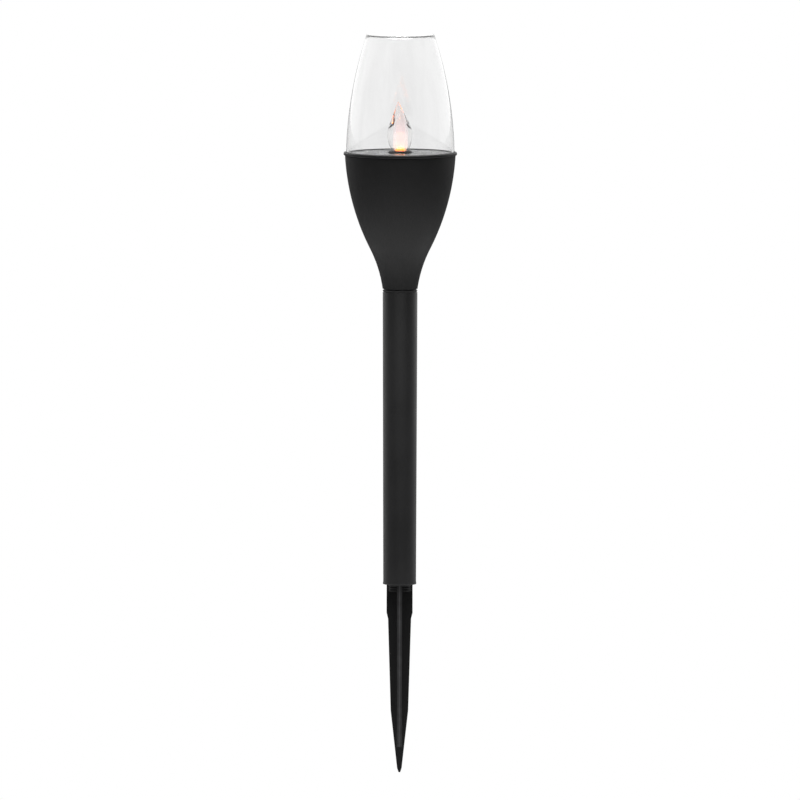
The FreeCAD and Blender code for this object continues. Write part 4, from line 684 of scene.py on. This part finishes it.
PANEL_HOLE_RADIUS = 7.0 * MM
CELL_LENGTH = 22.2 * MM
CELL_WIDTH = 13.0 * MM
CELL_INNER_EDGE = 7.7 * MM      # from the axis to a cell's long edge
CELL_END = -7.5 * MM            # of the first cell, along X
ROUND_INSET = 0.293             # from a quarter round's corner to its middle, in its radius
# the printed lines are in the cell's own plan, which is in millimetres
FINGER_PITCH = 1.15
FINGER_HALF_WIDTH = 0.035
BUSBAR_AT = (3.25, 9.75)
BUSBAR_HALF_WIDTH = 0.45

dark_board = moulding("black_laminate", (0.006, 0.006, 0.007), (0.01, 0.01, 0.012), 0.3, 0.45,
                      grain=1500.0)
dress(dark_board, "panel_board")


def stripe(tree, value, pitch, half_width, soft):
    """A mask of thin lines at a pitch along a value."""
    wave = put(tree, "ShaderNodeMath", operation="PINGPONG")
    wave.inputs[1].default_value = pitch / 2
    tree.links.new(value, wave.inputs[0])
    line = put(tree, "ShaderNodeMapRange", {"From Min": half_width, "From Max": half_width + soft,
                                            "To Min": 1.0, "To Max": 0.0})
    tree.links.new(wave.outputs["Value"], line.inputs["Value"])
    return line.outputs["Result"]


def printed_silicon():
    """Blue-black silicon with fine silver fingers across it and two busbars along it."""
    made = bpy.data.materials.new("silicon")
    made.use_nodes = True
    tree = made.node_tree
    surface = tree.nodes["Principled BSDF"]
    where = put(tree, "ShaderNodeUVMap", uv_map="cell_plan")
    split = put(tree, "ShaderNodeSeparateXYZ")
    tree.links.new(where.outputs["UV"], split.inputs["Vector"])
    lines = stripe(tree, split.outputs["X"], FINGER_PITCH, FINGER_HALF_WIDTH, 0.03)
    for place in BUSBAR_AT:
        off = put(tree, "ShaderNodeMath", operation="SUBTRACT")
        off.inputs[1].default_value = place
        tree.links.new(split.outputs["Y"], off.inputs[0])
        distance = put(tree, "ShaderNodeMath", operation="ABSOLUTE")
        tree.links.new(off.outputs["Value"], distance.inputs[0])
        bar = put(tree, "ShaderNodeMapRange", {"From Min": BUSBAR_HALF_WIDTH, "From Max": 0.5,
                                               "To Min": 1.0, "To Max": 0.0})
        tree.links.new(distance.outputs["Value"], bar.inputs["Value"])
        both = put(tree, "ShaderNodeMath", operation="MAXIMUM")
        tree.links.new(lines, both.inputs[0])
        tree.links.new(bar.outputs["Result"], both.inputs[1])
        lines = both.outputs["Value"]
    crystals = put(tree, "ShaderNodeTexVoronoi", {"Scale": 0.6}, feature="F1")
    tree.links.new(where.outputs["UV"], crystals.inputs["Vector"])
    blue = ramp(tree, crystals.outputs["Color"], (0.2, (0.006, 0.009, 0.022)),
                (0.8, (0.014, 0.02, 0.045)))
    printed = put(tree, "ShaderNodeMix", data_type="RGBA")
    tree.links.new(lines, printed.inputs[0])
    tree.links.new(blue, printed.inputs[6])
    printed.inputs[7].default_value = (0.42, 0.42, 0.4, 1)
    tree.links.new(printed.outputs[2], surface.inputs["Base Color"])
    tree.links.new(lines, surface.inputs["Metallic"])
    tree.links.new(ramp(tree, crystals.outputs["Distance"], (0.0, 0.22), (1.0, 0.38)),
                   surface.inputs["Roughness"])
    relief = put(tree, "ShaderNodeBump", {"Strength": 0.3, "Distance": 0.02 * MM})
    tree.links.new(lines, relief.inputs["Height"])
    tree.links.new(relief.outputs["Normal"], surface.inputs["Normal"])
    return made


def clear(name, thin, thick, smoothest, roughest, stretch, index=1.49, ripple=0.0):
    """A clear plastic: its tint, gloss and surface ripple vary along the way it flowed in the mould."""
    made = bpy.data.materials.new(name)
    made.use_nodes = True
    tree = made.node_tree
    surface = tree.nodes["Principled BSDF"]
    where = put(tree, "ShaderNodeTexCoord")
    run = put(tree, "ShaderNodeMapping", {"Scale": stretch})
    tree.links.new(where.outputs["Object"], run.inputs["Vector"])
    flow = put(tree, "ShaderNodeTexNoise", {"Scale": 1.0, "Detail": 3.0, "Roughness": 0.6})
    tree.links.new(run.outputs["Vector"], flow.inputs["Vector"])
    tree.links.new(ramp(tree, flow.outputs["Fac"], (0.3, thin), (0.7, thick)),
                   surface.inputs["Base Color"])
    tree.links.new(ramp(tree, flow.outputs["Fac"], (0.35, smoothest), (0.65, roughest)),
                   surface.inputs["Roughness"])
    if ripple:
        relief = put(tree, "ShaderNodeBump", {"Strength": ripple, "Distance": 0.3 * MM})
        tree.links.new(flow.outputs["Fac"], relief.inputs["Height"])
        tree.links.new(relief.outputs["Normal"], surface.inputs["Normal"])
    surface.inputs["Transmission Weight"].default_value = 1.0
    surface.inputs["IOR"].default_value = index
    return made


def solar_panel():
    low, high = (corner.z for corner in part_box("solar_cells"))
    cells = bmesh.new()
    plan = cells.loops.layers.uv.new("cell_plan")
    for quarter in range(4):
        made = bmesh.ops.create_cube(cells, size=1.0)["verts"]
        bmesh.ops.scale(cells, verts=made, vec=(CELL_LENGTH, CELL_WIDTH, high - low))
        bmesh.ops.translate(cells, verts=made, vec=(CELL_END + CELL_LENGTH / 2,
                                                    CELL_INNER_EDGE + CELL_WIDTH / 2, (low + high) / 2))
        for face in {f for v in made for f in v.link_faces}:
            for corner in face.loops:
                corner[plan].uv = ((corner.vert.co.x - CELL_END) / MM,
                                   (corner.vert.co.y - CELL_INNER_EDGE) / MM)
        bmesh.ops.rotate(cells, verts=made, cent=(0, 0, 0),
                         matrix=Matrix.Rotation(-math.pi / 2 * quarter, 3, "Z"))
    rounded(cells, 0.05 * MM, segments=1)
    piece("cells", cells, printed_silicon(), "head", ["solar_cells"])

    foot, top = (corner.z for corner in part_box("panel_resin"))
    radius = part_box("panel_resin")[1].x
    lip = 0.3 * MM
    line = Outline(PANEL_HOLE_RADIUS, foot)
    line.line(radius, foot).line(radius, top - lip)
    inset = ROUND_INSET * lip
    line.arc((radius - inset, top - inset), (radius - lip, top), 5)
    line.line(PANEL_HOLE_RADIUS + lip, top)
    line.arc((PANEL_HOLE_RADIUS + inset, top - inset), (PANEL_HOLE_RADIUS, top - lip), 5)
    line.line(PANEL_HOLE_RADIUS, foot)
    resin = clear("panel_resin", (0.8, 0.8, 0.82), (0.62, 0.62, 0.64), 0.16, 0.34, (180, 180, 180),
                  index=1.5, ripple=0.12)
    piece("resin", line.turned(128), resin, "head", ["panel_resin"])


solar_panel()


# ---------------------------------------------------------------- lamp head: light and flame lens
# A warm round-topped lamp stands up into a clear, thick, hollow teardrop that leans a little, like a
# flame in still air. The glow on the hollow's wall stands for the lamp's light caught in the plastic.

LAMP_RED = (1.0, 0.05, 0.01)
LAMP_ORANGE = (1.0, 0.14, 0.02)
LAMP_YELLOW = (1.0, 0.5, 0.08)
LAMP_HOT = (1.0, 0.85, 0.5)
LAMP_STRENGTH = 2.2
LIGHT_RADIUS = 2.5 * MM
LIGHT_RIM_RADIUS = 2.9 * MM


def glow_along(material, foot, top, *stops):
    """Light that comes out of a clear or diffusing body, changing from its foot to its top."""
    tree = material.node_tree
    surface = tree.nodes["Principled BSDF"]
    where = put(tree, "ShaderNodeTexCoord")
    split = put(tree, "ShaderNodeSeparateXYZ")
    tree.links.new(where.outputs["Object"], split.inputs["Vector"])
    up = put(tree, "ShaderNodeMapRange", {"From Min": foot, "From Max": top})
    tree.links.new(split.outputs["Z"], up.inputs["Value"])
    tree.links.new(ramp(tree, up.outputs["Result"], *stops), surface.inputs["Emission Color"])
    surface.inputs["Emission Strength"].default_value = 1.0


def light():
    foot, top = (corner.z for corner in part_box("light"))
    dome = top - LIGHT_RADIUS
    line = Outline(0, foot)
    line.line(LIGHT_RIM_RADIUS, foot).line(LIGHT_RIM_RADIUS, foot + 1.0 * MM)
    line.line(LIGHT_RADIUS, foot + 1.0 * MM).line(LIGHT_RADIUS, dome)
    line.arc((LIGHT_RADIUS * math.sqrt(0.5), dome + LIGHT_RADIUS * math.sqrt(0.5)), (0, top), 12)
    lamp = rounded(line.turned(48), 0.12 * MM, segments=2, over=50)
    amber = moulding("amber_lamp", (0.7, 0.3, 0.1), (0.85, 0.45, 0.2), 0.2, 0.35, grain=600.0, bump=0.02)
    glow_along(amber, foot, top, (0.3, LAMP_RED), (0.62, LAMP_ORANGE), (0.85, LAMP_YELLOW),
               (1.0, LAMP_HOT))
    amber.node_tree.nodes["Principled BSDF"].inputs["Emission Strength"].default_value = LAMP_STRENGTH
    piece("lamp", lamp, amber, "head", ["light"])


light()

FLAME_NECK_RADIUS = 3.4 * MM
FLAME_CORE_RADIUS = 2.65 * MM
FLAME_CORE_HEIGHT = 21.0 * MM
FLAME_CORE_TAPER = 12.5 * MM
FLAME_BASE_HEIGHT = 5.6 * MM      # of the teardrop above the neck's foot
FLAME_HEIGHT = 24.4 * MM
FLAME_BASE_RADIUS = 5.2 * MM
FLAME_RADIUS = 6.7 * MM
FLAME_BELLY = 7.2 * MM
FLAME_SHOULDER_RISE = 4.5 * MM
FLAME_SHOULDER_INSET = 0.95 * MM
FLAME_TIP_RADIUS = 0.35 * MM
# middle of the tip's quarter round, out from the axis and down from the tip, in its radius
TIP_ACROSS = 0.7071
TIP_DOWN = 0.2929
FLAME_LEAN = math.radians(2.5)


def flame_lens():
    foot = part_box("flame_lens")[0].z
    base = foot + FLAME_BASE_HEIGHT
    belly = base + FLAME_BELLY
    tip = base + FLAME_HEIGHT
    core_top = base + FLAME_CORE_HEIGHT
    bend = (FLAME_SHOULDER_RISE ** 2 + FLAME_SHOULDER_INSET ** 2) / (2 * FLAME_SHOULDER_INSET)
    half_rise = FLAME_SHOULDER_RISE / 2
    bend_middle = (FLAME_RADIUS - bend + math.sqrt(bend ** 2 - half_rise ** 2), belly + half_rise)
    line = Outline(0, tip)
    line.arc((FLAME_TIP_RADIUS * TIP_ACROSS, tip - FLAME_TIP_RADIUS * TIP_DOWN),
             (FLAME_TIP_RADIUS, tip - FLAME_TIP_RADIUS), 5)
    line.line(FLAME_RADIUS - FLAME_SHOULDER_INSET, belly + FLAME_SHOULDER_RISE)
    line.arc(bend_middle, (FLAME_RADIUS, belly), 14)
    line.arc(((FLAME_BASE_RADIUS + FLAME_RADIUS) / 2 + 0.35 * MM, (base + belly) / 2),
             (FLAME_BASE_RADIUS, base + 0.3 * MM), 12)
    line.line(FLAME_BASE_RADIUS - 0.3 * MM, base)
    line.line(FLAME_NECK_RADIUS, base).line(FLAME_NECK_RADIUS, foot)
    line.line(FLAME_CORE_RADIUS, foot).line(FLAME_CORE_RADIUS, core_top - FLAME_CORE_TAPER)
    line.arc((FLAME_CORE_RADIUS * 0.7, core_top - FLAME_CORE_TAPER * 0.45), (0, core_top), 12)
    drop = line.turned(96)
    core = [f for f in drop.faces if f.normal.xy.dot(f.calc_center_median().xy) < 0
            and f.calc_center_median().z < core_top]
    for f in core:
        f.material_index = 1
    inside = {v for f in core for v in f.verts}
    outside = [v for v in drop.verts if v.co.z > base - 0.01 * MM and v not in inside]
    bmesh.ops.rotate(drop, verts=outside, cent=(0, 0, base),
                     matrix=Matrix.Rotation(-FLAME_LEAN, 3, "Y"))
    outer = clear("clear_flame", (0.97, 0.965, 0.96), (0.95, 0.94, 0.935), 0.0, 0.03,
                  (160, 160, 25))
    glow = clear("glowing_core", (0.99, 0.96, 0.95), (0.97, 0.93, 0.92), 0.06, 0.16,
                 (420, 420, 60))
    glow_along(glow, foot, core_top, (0.0, (0.5, 0.07, 0.02)), (0.2, (0.4, 0.15, 0.05)),
               (0.36, (0.24, 0.11, 0.08)), (0.55, (0.12, 0.045, 0.05)), (0.8, (0.04, 0.012, 0.014)),
               (1.0, (0.0, 0.0, 0.0)))
    piece("flame", drop, (outer, glow), "head", ["flame_lens"], smooth_to=50)


flame_lens()


# ---------------------------------------------------------------- shade
# A clear tulip shell blown to one long curve, closed at the top with a flat disc. Its foot stands in
# the tray's groove on a thin gasket.

SHADE_FOOT_RADIUS = 28.65 * MM
SHADE_TOP_RADIUS = 17.8 * MM
SHADE_FOOT_LEAN = math.radians(1.2)
SHADE_WALL = 1.0 * MM
SHADE_TOP_THICKNESS = 1.0 * MM
SHADE_SUNK = 0.6 * MM         # of its foot below the rim
# where a rounded corner has its middle and its end, in its radius
CORNER_IN = 0.36
CORNER_UP = 0.76
CORNER_END = 1.1


def shade():
    foot, top = (corner.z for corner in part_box("shade"))
    rim = foot + SHADE_SUNK
    rise = top - rim
    inward = SHADE_FOOT_RADIUS - SHADE_TOP_RADIUS
    bend = math.hypot(inward, rise) / (2 * math.sin(math.atan2(inward, rise) - SHADE_FOOT_LEAN))
    axis_to_centre = SHADE_FOOT_RADIUS - bend * math.cos(SHADE_FOOT_LEAN)

    def wall(inset, lift):
        above_centre = lift + bend * math.sin(SHADE_FOOT_LEAN)
        return (axis_to_centre + math.sqrt((bend - inset) ** 2 - above_centre ** 2), rim + lift)

    inner_rise = rise - SHADE_TOP_THICKNESS
    corner = 0.6 * MM
    inner_corner = 1.0 * MM
    outer_end = wall(0, rise - corner)
    inner_end = wall(SHADE_WALL, inner_rise - inner_corner)
    line = Outline(0, top)
    line.line(outer_end[0] - corner * CORNER_END, top)
    line.arc((outer_end[0] - corner * CORNER_IN, outer_end[1] + corner * CORNER_UP), outer_end, 6)
    line.arc(wall(0, rise / 2), (SHADE_FOOT_RADIUS, rim), 48)
    line.line(SHADE_FOOT_RADIUS, foot).line(SHADE_FOOT_RADIUS - SHADE_WALL, foot)
    line.line(SHADE_FOOT_RADIUS - SHADE_WALL, rim)
    line.arc(wall(SHADE_WALL, inner_rise / 2), inner_end, 48)
    line.arc((inner_end[0] - inner_corner * CORNER_IN, inner_end[1] + inner_corner * CORNER_UP),
             (inner_end[0] - inner_corner * CORNER_END, rim + inner_rise), 6)
    line.line(0, rim + inner_rise)
    styrene = clear("clear_shade", (0.975, 0.975, 0.975), (0.925, 0.925, 0.925), 0.0, 0.04,
                    (95, 95, 7), ripple=0.06)
    piece("shade_shell", line.turned(192), styrene, "head", ["shade"], smooth_to=50)


shade()


# ---------------------------------------------------------------- finish
# The view layer is brought up to date once every piece is placed.

bpy.context.view_layer.update()
